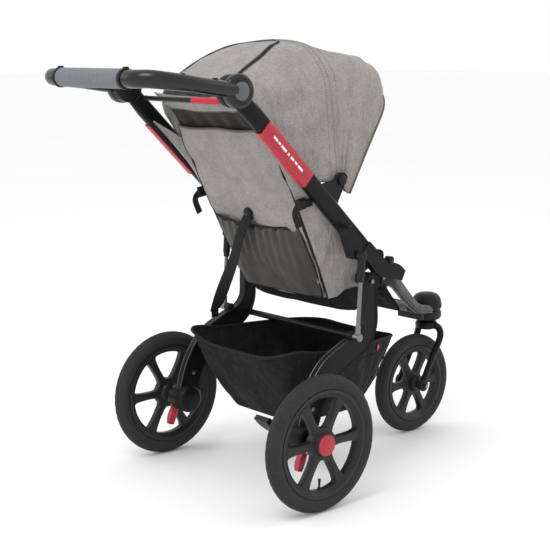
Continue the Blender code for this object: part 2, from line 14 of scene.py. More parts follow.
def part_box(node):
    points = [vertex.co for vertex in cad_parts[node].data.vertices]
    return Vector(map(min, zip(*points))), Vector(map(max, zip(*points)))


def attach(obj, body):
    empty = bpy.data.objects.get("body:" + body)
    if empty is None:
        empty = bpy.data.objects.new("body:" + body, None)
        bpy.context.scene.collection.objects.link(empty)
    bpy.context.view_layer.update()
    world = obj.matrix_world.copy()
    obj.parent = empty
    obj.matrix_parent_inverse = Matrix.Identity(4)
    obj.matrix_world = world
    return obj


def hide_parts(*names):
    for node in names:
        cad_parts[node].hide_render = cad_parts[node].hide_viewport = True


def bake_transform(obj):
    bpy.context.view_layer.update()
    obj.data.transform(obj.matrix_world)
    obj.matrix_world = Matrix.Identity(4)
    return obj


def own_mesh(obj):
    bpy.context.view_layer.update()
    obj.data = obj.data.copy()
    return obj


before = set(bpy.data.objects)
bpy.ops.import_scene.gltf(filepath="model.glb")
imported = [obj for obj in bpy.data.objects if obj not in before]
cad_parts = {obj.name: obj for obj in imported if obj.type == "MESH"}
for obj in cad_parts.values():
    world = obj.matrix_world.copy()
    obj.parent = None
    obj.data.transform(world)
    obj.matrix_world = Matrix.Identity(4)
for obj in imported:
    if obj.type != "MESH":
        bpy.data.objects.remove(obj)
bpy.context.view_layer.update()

# ---------------------------------------------------------------- places, as the CAD model has them
SIDES = (("left", 1), ("right", -1))
TUBE_FOOT = np.array((-0.120, 0.545))  # (y, z) places from here on
HUB = np.array((0.365, 1.011))
TUBE_DEPTH = 0.044
FRAME_LANE = (0.2030, 0.2275)  # |x| from the inner to the outer face
LEG_LANE = (0.2285, 0.2515)
ARM_LANE = (0.2195, 0.2430)
STRUT_X = 0.264
FOLD_PIVOT = (-0.139, 0.573)
LEG_PIVOT = (-0.052, 0.530)
STRUT_TOP = np.array((0.000, 0.603))
STRUT_FOOT = np.array((0.012, 0.398))
CANOPY_PIVOT = (0.010, 0.785)
CANOPY_X = 0.186
CANOPY_SHOULDER = 0.085
BACK_FOOT = np.array((0.014, 0.472))
BACK_TOP = np.array((0.236, 0.912))
STEERING_Y = -0.535
GRIP_Z = 1.040
GRIP_Y = 0.600

tube_length = float(np.linalg.norm(HUB - TUBE_FOOT))
ALONG = (HUB - TUBE_FOOT) / tube_length
ACROSS = np.array((-ALONG[1], ALONG[0]))  # up and forward, square to the tube
back_length = float(np.linalg.norm(BACK_TOP - BACK_FOOT))
UP_BACK = (BACK_TOP - BACK_FOOT) / back_length
OUT_BACK = np.array((UP_BACK[1], -UP_BACK[0]))  # out of the backrest's rear face


def middle(node):
    low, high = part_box(node)
    return (low + high) / 2


def yz(node):
    return np.array(middle(node)[1:])


REAR_AXLE, FRONT_AXLE = yz("rear_rim_left"), yz("front_rim")
REAR_RADIUS = (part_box("rear_tyre_left")[1].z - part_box("rear_tyre_left")[0].z) / 2
FRONT_RADIUS = (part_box("front_tyre")[1].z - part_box("front_tyre")[0].z) / 2
WHEEL_X = middle("rear_tyre_left").x


def on_tube(along, across=0.0):
    return TUBE_FOOT + along * ALONG + across * ACROSS


def on_back(share, out=0.0):
    return BACK_FOOT + share * (BACK_TOP - BACK_FOOT) + out * OUT_BACK


# ---------------------------------------------------------------- materials
class Finish:
    """One procedural material. Its patterns are in metres, in the object's own space."""

    def __init__(self, name, roughness, metallic=0.0, **sockets):
        self.material = bpy.data.materials.new(name)
        self.material.use_nodes = True
        self.tree = self.material.node_tree
        self.shader = self.tree.nodes["Principled BSDF"]
        self.shader.inputs["Roughness"].default_value = roughness
        self.shader.inputs["Metallic"].default_value = metallic
        for socket, value in sockets.items():
            self.shader.inputs[socket.replace("_", " ")].default_value = value
        self.space = self.tree.nodes.new("ShaderNodeTexCoord").outputs["Object"]
        self.normal = None

    def add(self, kind, inputs, **settings):
        node = self.tree.nodes.new("ShaderNode" + kind)
        for key, value in settings.items():
            setattr(node, key, value)
        for key, value in inputs.items():
            if isinstance(value, bpy.types.NodeSocket):
                self.tree.links.new(value, node.inputs[key])
            else:
                node.inputs[key].default_value = value
        return node

    def link(self, output, socket):
        self.tree.links.new(output, self.shader.inputs[socket])

    def stretched(self, scale):
        return self.add("Mapping", {"Vector": self.space, "Scale": scale}).outputs["Vector"]

    def noise(self, scale, detail=3.0, rough=0.55, vector=None):
        made = self.add(
            "TexNoise",
            {"Vector": vector or self.space, "Scale": scale, "Detail": detail, "Roughness": rough}
        )
        return made.outputs["Fac"]

    def cells(self, scale):
        return self.add("TexVoronoi", {"Vector": self.space, "Scale": scale}).outputs["Distance"]

    def threads(self, pitch, direction):
        """Bands one thread apart, running square to the direction."""
        wave = self.add(
            "TexWave", {
                "Vector": self.space, "Scale": 0.31416 / pitch * 0.5, "Distortion": 0.6, "Detail": 1.0
            },
            bands_direction=direction,
        )
        return wave.outputs["Fac"]

    def math(self, operation, a, b):
        return self.add("Math", {0: a, 1: b}, operation=operation).outputs[0]

    def ramp(self, value, *stops):
        """A colour ramp of (position, colour), or of (position, number)."""
        node = self.add("ValToRGB", {"Fac": value})
        while len(node.color_ramp.elements) < len(stops):
            node.color_ramp.elements.new(0.5)
        for element, (position, colour) in zip(node.color_ramp.elements, stops):
            element.position = position
            element.color = (*colour, 1) if isinstance(colour, tuple) else (colour, colour, colour, 1)
        return node.outputs["Color"]

    def mix(self, share, a, b):
        node = self.add("Mix", {0: share, 6: a, 7: b}, data_type="RGBA")
        return node.outputs[2]

    def bump(self, height, depth, strength=1.0):
        inputs = {"Height": height, "Distance": depth, "Strength": strength}
        if self.normal is not None:
            inputs["Normal"] = self.normal
        self.normal = self.add("Bump", inputs).outputs["Normal"]
        self.link(self.normal, "Normal")

    def edge_wear(self, colour, worn, strength=0.5):
        """Lightens the raised edges, where hands and dust reach."""
        pointed = self.add("NewGeometry", {}).outputs["Pointiness"]
        edge = self.ramp(pointed, (0.52, 0.0), (0.60, strength))
        patchy = self.math("MULTIPLY", edge, self.noise(180.0, 2.0))
        return self.mix(patchy, colour, (*worn, 1))


FINISHES = {}


def woven(name, dark, light, pitch, sheen, depth=0.00025, mottle=35.0, crease_shade=0.0):
    """Cloth: two thread colours mixed by slubs, softly mottled, over a plain weave. When creases are asked
    for, the colour also carries painted shade in the folds and a painted highlight on their ridges.
    """
    made = Finish(name, 0.88, Sheen_Weight=sheen, Sheen_Roughness=0.5, Specular_IOR_Level=0.15)
    slub_up = made.noise(1.0, 4.0, 0.7, made.stretched((900, 900, 110)))
    slub_round = made.noise(1.0, 4.0, 0.7, made.stretched((120, 120, 900)))
    slub = made.math("MULTIPLY", made.math("ADD", slub_up, slub_round), 0.5)
    soft = made.noise(mottle, 3.0)
    share = made.ramp(
        made.math("ADD", made.math("MULTIPLY", slub, 0.88), made.math("MULTIPLY", soft, 0.12)), (0.43, 0.0),
        (0.57, 1.0)
    )
    colour = made.mix(share, (*dark, 1), (*light, 1))
    creases = made.noise(1.0, 3.0, 0.6, made.stretched((11, 17, 8)))
    if crease_shade:
        # painted shade and highlight: the colour is darkened in the creases and lightened on their ridges,
        # from the same field as the fold bump
        painted_crease_shade = made.ramp(creases, (0.34, 1 - crease_shade), (0.50, 1.0), (0.66, 1 + crease_shade * 0.6))
        colour = made.add(
            "Mix", {0: 1.0, 6: colour, 7: painted_crease_shade}, data_type="RGBA", blend_type="MULTIPLY"
        ).outputs[2]
        made.bump(creases, 0.030, 0.7)
    made.link(colour, "Base Color")
    made.link(made.ramp(slub, (0.3, 0.95), (0.7, 0.78)), "Roughness")
    weave = made.math("MULTIPLY", made.threads(pitch, "DIAGONAL"), made.threads(pitch, "Z"))
    made.bump(weave, depth, 0.6)
    made.bump(made.noise(55.0, 2.0), 0.0012, 0.35)
    FINISHES[name] = made.material


def moulded(name, colour, worn, roughness, grain=1400.0, depth=0.00012, metallic=0.0, **sockets):
    """Plastic or powder coat with a fine grain and lighter edges."""
    made = Finish(name, roughness, metallic, **sockets)
    cloudy = made.mix(made.noise(22.0, 2.0), (*colour, 1), (*(c * 1.25 for c in colour), 1))
    made.link(made.edge_wear(cloudy, worn), "Base Color")
    made.link(
        made.ramp(made.noise(40.0, 3.0), (0.3, roughness - 0.07), (0.7, roughness + 0.08)), "Roughness"
    )
    made.bump(made.noise(grain, 2.0), depth, 0.5)
    FINISHES[name] = made.material


def materials():
    woven("heather_fabric", (0.218, 0.204, 0.193), (0.338, 0.321, 0.306), 0.0011, 0.12, crease_shade=0.08)
    woven("light_binding", (0.24, 0.225, 0.21), (0.34, 0.32, 0.30), 0.0009, 0.2)
    woven("grey_piping", (0.085, 0.080, 0.075), (0.14, 0.13, 0.12), 0.0009, 0.2)
    woven(
        "black_fabric", (0.0085, 0.0085, 0.0095), (0.020, 0.020, 0.022), 0.0014, 0.02, 0.0003, crease_shade=0.35
    )
    woven("black_webbing", (0.010, 0.010, 0.010), (0.024, 0.024, 0.025), 0.0022, 0.02, 0.0006)
    woven("lining", (0.020, 0.018, 0.017), (0.038, 0.034, 0.032), 0.0012, 0.1)
    woven("red_webbing", (0.42, 0.012, 0.030), (0.60, 0.030, 0.050), 0.0018, 0.15)
    woven("thread", (0.13, 0.125, 0.12), (0.22, 0.21, 0.20), 0.0006, 0.0)
    moulded(
        "frame_black", (0.006, 0.006, 0.0066), (0.03, 0.03, 0.032), 0.36, 2200.0, 0.00006,
        Specular_IOR_Level=0.16
    )
    moulded("moulded_black", (0.009, 0.009, 0.0100), (0.04, 0.04, 0.043), 0.46, Specular_IOR_Level=0.2)
    moulded(
        "handle_gloss", (0.008, 0.008, 0.009), (0.03, 0.03, 0.033), 0.20, 900.0, 0.00003,
        Specular_IOR_Level=0.4
    )
    moulded("wheel_plastic", (0.013, 0.013, 0.0145), (0.05, 0.05, 0.055), 0.42, Specular_IOR_Level=0.28)
    moulded("grey_plastic", (0.075, 0.080, 0.090), (0.14, 0.15, 0.165), 0.40)
    moulded("red_plastic", (0.36, 0.008, 0.022), (0.60, 0.08, 0.09), 0.30, 600.0, 0.00004)
    moulded("pale_print", (0.78, 0.72, 0.72), (0.9, 0.9, 0.9), 0.5)
    tyre = Finish("tyre_rubber", 0.82)
    dust = tyre.ramp(
        tyre.noise(90.0, 5.0, 0.7), (0.35, (0.011, 0.011, 0.0115)), (0.75, (0.022, 0.0215, 0.021))
    )
    tyre.link(dust, "Base Color")
    tyre.bump(tyre.noise(700.0, 3.0), 0.0003, 0.6)
    FINISHES["tyre_rubber"] = tyre.material
    foam = Finish("foam_grey", 0.78, Sheen_Weight=0.15)
    foam.link(
        foam.ramp(foam.noise(160.0, 4.0), (0.3, (0.105, 0.120, 0.136)), (0.7, (0.140, 0.157, 0.177))),
        "Base Color"
    )
    foam.bump(foam.cells(900.0), 0.0004, 0.5)
    FINISHES["foam_grey"] = foam.material
    metal = Finish("bare_metal", 0.3, 0.95)
    brushed = metal.noise(1.0, 3.0, 0.6, metal.stretched((2500, 2500, 40)))
    metal.link(metal.ramp(brushed, (0.3, (0.15, 0.15, 0.16)), (0.7, (0.26, 0.26, 0.27))), "Base Color")
    metal.link(metal.ramp(brushed, (0.3, 0.22), (0.7, 0.42)), "Roughness")
    FINISHES["bare_metal"] = metal.material
    mesh = Finish("mesh_fabric", 0.85, Sheen_Weight=0.2)
    mesh.link(
        mesh.ramp(
            mesh.noise(1.0, 4.0, 0.7, mesh.stretched((420, 420, 60))), (0.3, (0.020, 0.0165, 0.0140)),
            (0.7, (0.048, 0.041, 0.035))
        ),
        "Base Color"
    )
    mesh.bump(mesh.cells(1100.0), 0.0005, 0.8)
    FINISHES["mesh_fabric"] = mesh.material


# ---------------------------------------------------------------- mesh helpers
def finish_piece(name, build, finish, body, replaced=(), smooth=40, modifiers=()):
    """Makes the object, faces out, rides it on its body and hides the CAD nodes it stands for."""
    bmesh.ops.remove_doubles(build, verts=build.verts, dist=1e-6)
    bmesh.ops.recalc_face_normals(build, faces=build.faces)
    if not any(edge.is_boundary for edge in build.edges) and build.calc_volume(signed=True) < 0:
        bmesh.ops.reverse_faces(build, faces=build.faces)
    mesh = bpy.data.meshes.new(name)
    build.to_mesh(mesh)
    build.free()
    mesh.shade_smooth()
    mesh.set_sharp_from_angle(angle=math.radians(smooth))
    mesh.materials.append(FINISHES[finish])
    made = bpy.data.objects.new(name, mesh)
    bpy.context.scene.collection.objects.link(made)
    for kind, settings in modifiers:
        step = made.modifiers.new(kind.title(), kind)
        for key, value in settings.items():
            setattr(step, key, value)
    settle(made, body, replaced)
    return made


def settle(made, body, replaced=()):
    if body:
        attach(made, body)
    if replaced:
        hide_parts(*([replaced] if isinstance(replaced, str) else replaced))


def skin(loops, build=None, closed=False, caps=True):
    """Quads between equal-length loops of points, in a new or a given bmesh."""
    build = build or bmesh.new()
    rows = [[build.verts.new(tuple(point)) for point in loop] for loop in loops]
    pairs = list(zip(rows, rows[1:])) + ([(rows[-1], rows[0])] if closed else [])
    count = len(rows[0])
    for first, second in pairs:
        for i in range(count):
            build.faces.new((first[i], first[(i + 1) % count], second[(i + 1) % count], second[i]))
    if caps and not closed:
        build.faces.new(rows[0])
        build.faces.new(rows[-1])
    return build


def catmull(points, steps):
    """A smooth run through the points, with that many steps between each two."""
    rows = [np.array(p, float) for p in points]
    rows = [2 * rows[0] - rows[1], *rows, 2 * rows[-1] - rows[-2]]
    path = []
    for a, b, c, d in zip(rows, rows[1:], rows[2:], rows[3:]):
        for t in np.arange(steps) / steps:
            path.append(
                0.5 * (
                    2 * b + (c - a) * t + (
                        2 * a - 5 * b + 4 * c - d
                    ) * t**2 + (3 * b - a - 3 * c + d) * t**3
                )
            )
    path.append(rows[-2])
    return np.array(path)


def ring_of(points, steps):
    """A smooth closed run through the points."""
    rows = np.array(points, float)
    path = []
    for i in range(len(rows)):
        a, b, c, d = (rows[(i + k) % len(rows)] for k in (-1, 0, 1, 2))
        for t in np.arange(steps) / steps:
            path.append(
                0.5 * (
                    2 * b + (c - a) * t + (
                        2 * a - 5 * b + 4 * c - d
                    ) * t**2 + (3 * b - a - 3 * c + d) * t**3
                )
            )
    return np.array(path)


def frames(path, up=(0, 0, 1)):
    """Heading, sideways and upward unit vectors along a path, without twist."""
    path = np.array(path, float)
    heading = np.gradient(path, axis=0)
    heading /= np.linalg.norm(heading, axis=1)[:, None]
    side = np.cross(heading[0], up)
    if np.linalg.norm(side) < 1e-3:
        side = np.cross(heading[0], (1, 0, 0))
    sides = []
    for direction in heading:
        side = side - direction * (side @ direction)
        side = side / np.linalg.norm(side)
        sides.append(side)
    sides = np.array(sides)
    return heading, sides, np.cross(sides, heading)


def bar_loops(path, radii, sides=20, flat=1.0, up=(0, 0, 1)):
    """Round or oval loops along a path. Flat is the height as a share of the width."""
    _, side, upward = frames(path, up)
    radii = np.broadcast_to(radii, (len(path),))
    turns = np.linspace(0, 2 * math.pi, sides, endpoint=False)
    loops = []
    for point, across, rise, radius in zip(path, side, upward, radii):
        loops.append([point + radius * (math.cos(a) * across + flat * math.sin(a) * rise) for a in turns])
    return loops


def bar(name, path, radii, finish, body, replaced=(), sides=20, flat=1.0, up=(0, 0, 1)):
    return finish_piece(
        name, skin(bar_loops(np.array(path, float), radii, sides, flat, up)), finish, body, replaced
    )


def turn_x(build, profile, centre, steps=64):
    """Turns a closed profile of (x, radius) about an axis along X through centre (y, z)."""
    loops = []
    for a in np.linspace(0, 2 * math.pi, steps, endpoint=False):
        loops.append([(x, centre[0] + r * math.cos(a), centre[1] + r * math.sin(a)) for x, r in profile])
    return skin(loops, build, closed=True)


def turn_z(build, profile, centre, steps=56):
    """A solid of (radius, z) points, turned about a vertical axis through centre (x, y)."""
    turns = np.linspace(0, 2 * math.pi, steps, endpoint=False)
    loops = [
        [(centre[0] + r * math.cos(a), centre[1] + r * math.sin(a), z) for a in turns]
        for r, z in profile
    ]
    return skin(loops, build)


def knob_x(build, profile, centre, steps=40):
    """A solid of (x, radius) points from end to end, turned about an axis along X."""
    turns = np.linspace(0, 2 * math.pi, steps, endpoint=False)
    loops = [
        [(x, centre[0] + r * math.cos(a), centre[1] + r * math.sin(a)) for a in turns]
        for x, r in profile
    ]
    return skin(loops, build)


def inset(outline, distance):
    """A smooth outline in (y, z), moved inward."""
    line = np.array(outline, float)
    heading = np.roll(line, -1, 0) - np.roll(line, 1, 0)
    heading /= np.linalg.norm(heading, axis=1)[:, None] + 1e-12
    normal = np.stack([-heading[:, 1], heading[:, 0]], 1)
    area = np.sum(line[:, 0] * np.roll(line[:, 1], -1) - np.roll(line[:, 0], -1) * line[:, 1])
    return line + normal * distance * (1 if area > 0 else -1)


def plate(build, outline, x_low, x_high, edge=0.003):
    """An outline in (y, z) across the stroller, its edges rounded."""
    loops = []
    for turn in (0, 0.5, 1.0):
        angle = turn * math.pi / 2
        loops.append(
            [
                (x_low + edge * (1 - math.sin(angle)), y, z)
                for y, z in inset(outline, edge * (1 - math.cos(math.pi / 2 - angle)))
            ]
        )
    for turn in (1.0, 0.5, 0):
        angle = turn * math.pi / 2
        loops.append(
            [
                (x_high - edge * (1 - math.sin(angle)), y, z)
                for y, z in inset(outline, edge * (1 - math.cos(math.pi / 2 - angle)))
            ]
        )
    return skin(loops, build)


def arc(centre, radius, start, end, count):
    turns = np.radians(np.linspace(start, end, count))
    return [(centre[0] + radius * math.cos(a), centre[1] + radius * math.sin(a)) for a in turns]


def band(centreline, widths, steps=5):
    """A smooth outline in (y, z) around a centreline, as wide at each point as widths says."""
    run = catmull([(*p, w) for p, w in zip(centreline, widths)], steps)
    line, half = run[:, :2], run[:, 2:] / 2
    heading = np.gradient(line, axis=0)
    heading /= np.linalg.norm(heading, axis=1)[:, None]
    normal = np.stack([-heading[:, 1], heading[:, 0]], 1)
    return line + normal * half, line - normal * half


def rounded(half_x, half_y, corner, count=5):
    """A rounded rectangle of (x, y) points about the middle."""
    points = []
    for cx, cy, start in ((1, 1, 0), (-1, 1, 90), (-1, -1, 180), (1, -1, 270)):
        for a in np.radians(np.linspace(start, start + 90, count)):
            points.append(
                (
                    cx * (half_x - corner) + corner * math.cos(a),
                    cy * (half_y - corner) + corner * math.sin(a)
                )
            )
    return points


def block(build, centre, size, corner=0.0015, axes=((1, 0, 0), (0, 1, 0), (0, 0, 1))):
    """A small box with rounded sides along its third axis and softened ends."""
    axes = [np.array(a, float) / np.linalg.norm(a) for a in axes]
    centre, half = np.array(centre, float), np.array(size) / 2
    loops = []
    for w, shrink in ((-1, corner), (-1, 0), (1, 0), (1, corner)):
        lift = w * (half[2] if shrink else half[2] - corner)
        section = rounded(half[0] - shrink, half[1] - shrink, max(corner - shrink, corner * 0.4))
        loops.append([centre + u * axes[0] + v * axes[1] + lift * axes[2] for u, v in section])
    return skin(loops, build)


def sheet_piece(
    name, grid, finish, body, replaced=(), thick=0.0016, round_and_round=False, levels=1, offset=-1.0
):
    """A sheet of cloth through a grid of points (rows, columns, xyz), thickened into a thin shell."""
    build = bmesh.new()
    rows = [[build.verts.new(tuple(p)) for p in row] for row in grid]
    count = len(rows[0])
    for first, second in zip(rows, rows[1:]):
        for i in range(count if round_and_round else count - 1):
            j = (i + 1) % count
            build.faces.new((first[i], first[j], second[j], second[i]))
    modifiers = [("SOLIDIFY", {"thickness": thick, "offset": offset, "use_even_offset": True})]
    if levels:
        modifiers.append(("SUBSURF", {"levels": levels, "render_levels": levels}))
    return finish_piece(name, build, finish, body, replaced, 60, modifiers)


def normals_of(grid):
    du, dv = np.gradient(grid, axis=0), np.gradient(grid, axis=1)
    normal = np.cross(du, dv)
    return normal / (np.linalg.norm(normal, axis=2)[:, :, None] + 1e-12)


def ripple(grid, scale, amount, seed, stretch=(1, 1, 1), held=False):
    """Soft cloth waves along the grid's normals, none at the first and last row where it is held."""
    normal = normals_of(grid)
    field = np.array(
        [
            [
                noise.fractal(Vector(p * stretch * scale) + Vector((seed, seed, seed)), 0.8, 2.0, 3)
                for p in row
            ]
            for row in grid
        ]
    )
    if held:
        field = field * np.sin(math.pi * np.linspace(0, 1, len(grid)))[:, None] ** 0.6
    return grid + normal * (field * amount)[:, :, None]


def piping(name, path, finish, body, radius=0.0022):
    return bar(name, path, radius, finish, body, (), 8)


def strap(name, path, facing, width, finish, body, thick=0.0016, steps=4):
    """Flat webbing along a path. Facing is the direction its broad side looks in, one for all or one each."""
    run = catmull(path, steps)
    facing = np.array(facing, float)
    if facing.ndim == 1:
        facing = np.repeat(facing[None], len(run), 0)
    else:
        facing = catmull(facing, steps)
    heading = np.gradient(run, axis=0)
    heading /= np.linalg.norm(heading, axis=1)[:, None]
    side = np.cross(heading, facing)
    side /= np.linalg.norm(side, axis=1)[:, None]
    normal = np.cross(side, heading)
    section = [
        (-0.5, -0.30), (-0.44, -0.5), (-0.2, -0.42), (0, -0.5), (0.2, -0.42), (0.44, -0.5), (0.5, -0.30)
    ]
    section += [(u, -v) for u, v in section[::-1]]
    loops = [[p + s * u * width + n * v * thick for u, v in section] for p, s, n in zip(run, side, normal)]
    return finish_piece(name, skin(loops), finish, body)


def stitching(name, path, facing, body, finish="thread", pitch=0.0065, length=0.0040, radius=0.00055):
    """A row of stitches: short raised dashes along a path on a surface that faces outwards."""
    path = np.array(path, float)
    lengths = np.r_[0, np.cumsum(np.linalg.norm(np.diff(path, axis=0), axis=1))]
    facing = np.broadcast_to(np.array(facing, float), path.shape)
    build = bmesh.new()
    for start in np.arange(pitch / 2, lengths[-1] - length, pitch):
        ends = [
            np.array([np.interp(s, lengths, path[:, k]) for k in range(3)])
            for s in (start, start + length)
        ]
        out = np.array([np.interp(start, lengths, facing[:, k]) for k in range(3)])
        heading = (ends[1] - ends[0]) / length
        side = np.cross(heading, out)
        side /= np.linalg.norm(side) + 1e-12
        out = np.cross(side, heading)
        loops = []
        for p, size in (
            (ends[0], 0.4), (ends[0] + heading * length * 0.2, 1), (ends[1] - heading * length * 0.2, 1),
            (ends[1], 0.4)
        ):
            loops.append(
                [
                    p + radius * size * (math.cos(a) * side + math.sin(a) * out)
                    for a in np.radians((0, 72, 144, 216, 288))
                ]
            )
        skin(loops, build)
    return finish_piece(name, build, finish, body)


def inflated(name, build, finish, body, replaced, voxel=0.006, cap=0.006, pressure=4.0):
    """A stuffed piece: a closed low shape is remeshed, blown up by a cloth simulation and smoothed."""
    made = finish_piece(name, build, finish, None)
    remesh = made.modifiers.new("Remesh", "REMESH")
    remesh.mode, remesh.voxel_size = "VOXEL", voxel
    graph = bpy.context.evaluated_depsgraph_get()
    made.data = bpy.data.meshes.new_from_object(made.evaluated_get(graph))
    made.modifiers.clear()
    rest = np.array([v.co for v in made.data.vertices])
    cloth = made.modifiers.new("Cloth", "CLOTH")
    cloth.settings.use_pressure = True
    cloth.settings.uniform_pressure_force = pressure
    cloth.settings.effector_weights.gravity = 0.0
    cloth.settings.quality = 5
    for step in range(1, 19):
        bpy.context.scene.frame_set(step)
    graph = bpy.context.evaluated_depsgraph_get()
    moved = np.array([v.co for v in made.evaluated_get(graph).data.vertices])
    made.modifiers.clear()
    shift = moved - rest
    size = np.linalg.norm(shift, axis=1)[:, None] + 1e-12
    moved = rest + shift * np.minimum(1.0, cap / size)
    made.data.vertices.foreach_set("co", moved.astype(np.float32).ravel())
    bpy.context.scene.frame_set(1)
    made.data.materials.clear()
    made.data.materials.append(FINISHES[finish])
    smooth = made.modifiers.new("Smooth", "SMOOTH")
    smooth.factor, smooth.iterations = 0.5, 4
    finer = made.modifiers.new("Subdivide", "SUBSURF")
    finer.levels = finer.render_levels = 1
    made.data.shade_smooth()
    settle(made, body, replaced)
    return made


# ---------------------------------------------------------------- wheels
def tyre(name, x, axle, outer, section, body):
    """A round tyre: blocks over the tread, two rings on each wall."""
    around, steps = 34, 240
    rim_angle = math.radians(38)
    build = bmesh.new()
    loops = []
    centre_radius = outer - section
    for step in range(steps):
        turn = 2 * math.pi * step / steps
        loop = []
        for k, a in enumerate(np.linspace(-math.pi / 2 + rim_angle, 3 * math.pi / 2 - rim_angle, around)):
            size = section
            shoulder = abs(math.degrees(a) - 90)
            if shoulder < 62:
                lane = int((shoulder + 8) // 14)
                lag = lane * 2 if a < math.pi / 2 else lane * 2 + 2
                if (step + lag) % 5 == 0 or k in (12, 21):
                    size -= 0.0013
            elif shoulder > 100 and k in (5, 28):
                size += 0.0006
            elif 70 < shoulder < 76:
                size += 0.0005
            radius = centre_radius + size * math.sin(a)
            loop.append(
                (
                    x + size * math.cos(a), axle[0] + radius * math.cos(turn),
                    axle[1] + radius * math.sin(turn)
                )
            )
        loops.append(loop)
    skin(loops, build, closed=True)
    return finish_piece(name + "_tread", build, "tyre_rubber", body, name, 30)


def window_outline(hub, lip):
    """One spoke window, about the middle of its sixth of the wheel, as (radius along, distance across)."""
    corners = []
    for radius, half_spoke in (
        (hub + 0.009, 0.0105), ((hub + lip) / 2, 0.0095), (lip - 0.010, 0.0120), (lip, 0.0165)
    ):
        angle = math.radians(30) - math.asin(half_spoke / radius)
        corners.append((radius * math.cos(angle), radius * math.sin(angle)))
    outer = corners[-1][1]
    top = [(math.sqrt(lip**2 - (outer * s) ** 2), outer * s) for s in (0.55, 0.0, -0.55)]
    ring = corners + top + [(u, -v) for u, v in corners[::-1]]
    for _ in range(3):  # corner cutting rounds the polygon evenly
        ring = [
            p
            for a, b in zip(ring, ring[1:] + ring[:1])
            for p in (0.75 * np.array(a) + 0.25 * np.array(b), 0.25 * np.array(a) + 0.75 * np.array(b))
        ]
    return np.array(ring)


def sixth_edge(outline, hub, rim):
    """Where rays from the window's middle through its outline leave that sixth of the wheel."""
    centre = outline.mean(0)
    found = []
    for point in outline:
        direction = (point - centre) / np.linalg.norm(point - centre)
        reach = []
        for sign in (1, -1):
            normal = np.array((-math.sin(math.radians(30)), sign * math.cos(math.radians(30))))
            speed = direction @ normal
            if speed > 1e-9:
                reach.append(-(centre @ normal) / speed)
        for radius, outward in ((rim, True), (hub, False)):
            b, c = centre @ direction, centre @ centre - radius**2
            root = b * b - c
            if root > 0:
                reach.append(-b + math.sqrt(root) if outward else -b - math.sqrt(root))
        found.append(centre + direction * min(r for r in reach if r > 0))
    return np.array(found)


def rim(name, x, side, axle, seat, hub, body, hub_reach, depth=0.0100):
    """A moulded rim: barrel with lips, a stepped hub, and a web with six rounded windows."""
    build = bmesh.new()
    barrel = [
        (
            -0.0165, seat + 0.001
        ), (-0.0175, seat - 0.003), (-0.0165, seat - 0.007), (-0.0125, seat - 0.010), (-depth, seat - 0.016),
        (
            -depth + 0.003, seat - 0.0185
        ), (depth - 0.003, seat - 0.0185), (depth, seat - 0.016), (0.0125, seat - 0.010),
        (0.0165, seat - 0.007), (0.0175, seat - 0.003), (0.0165, seat + 0.001),
    ]
    turn_x(build, [(x + side * dx, r) for dx, r in barrel], axle, 96)
    lip = seat - 0.0175
    outer = hub_reach
    hub_profile = [
        (-outer, 0.007), (-outer, hub - 0.006), (
            -outer + 0.003, hub - 0.002
        ), (-depth - 0.001, hub), (-depth + 0.001, hub + 0.010),
        (
            depth - 0.001, hub + 0.010
        ), (depth + 0.001, hub), (outer - 0.003, hub - 0.002), (outer, hub - 0.005), (outer, 0.007),
    ]
    turn_x(build, [(x + side * dx, r) for dx, r in hub_profile], axle, 72)
    outline = window_outline(hub, lip)
    boundary = sixth_edge(outline, hub + 0.004, lip + 0.0015)
    out = outline - outline.mean(0)
    out /= np.linalg.norm(out, axis=1)[:, None]
    round_over = 0.0032
    middle_line = outline + (boundary - outline) * 0.55
    rows = [(boundary, depth), (middle_line, depth + 0.0004), (outline + out * round_over, depth)]
    rows += [(outline + out * round_over * 0.3, depth - round_over * 0.35), (outline, depth - round_over)]
    rows += [(r, -d) for r, d in rows[::-1]]
    for k in range(6):
        turn = math.radians(60 * k + 30)
        heading, across = np.array((math.cos(turn), math.sin(turn))), np.array(
            (-math.sin(turn), math.cos(turn))
        )
        loops = []
        for points, dx in rows:
            loops.append([(x + side * dx, *(axle + u * heading + v * across)) for u, v in points])
        skin(loops, build, caps=False)
    return finish_piece(name + "_spokes", build, "wheel_plastic", body, name, 38)


def valve(name, x, axle, seat, body, turn):
    """The tyre's valve: a rubber stem and a cap that points at the hub."""
    direction = np.array((math.cos(math.radians(turn)), math.sin(math.radians(turn))))
    build = bmesh.new()
    path = [
        np.array((x, *(axle + direction * (seat - 0.018 - reach))))
        for reach in (-0.004, 0.006, 0.0065, 0.019, 0.0195, 0.026, 0.028)
    ]
    skin(bar_loops(path, [0.0042, 0.0040, 0.0028, 0.0028, 0.0036, 0.0036, 0.002], 14), build)
    return finish_piece(name, build, "moulded_black", body)


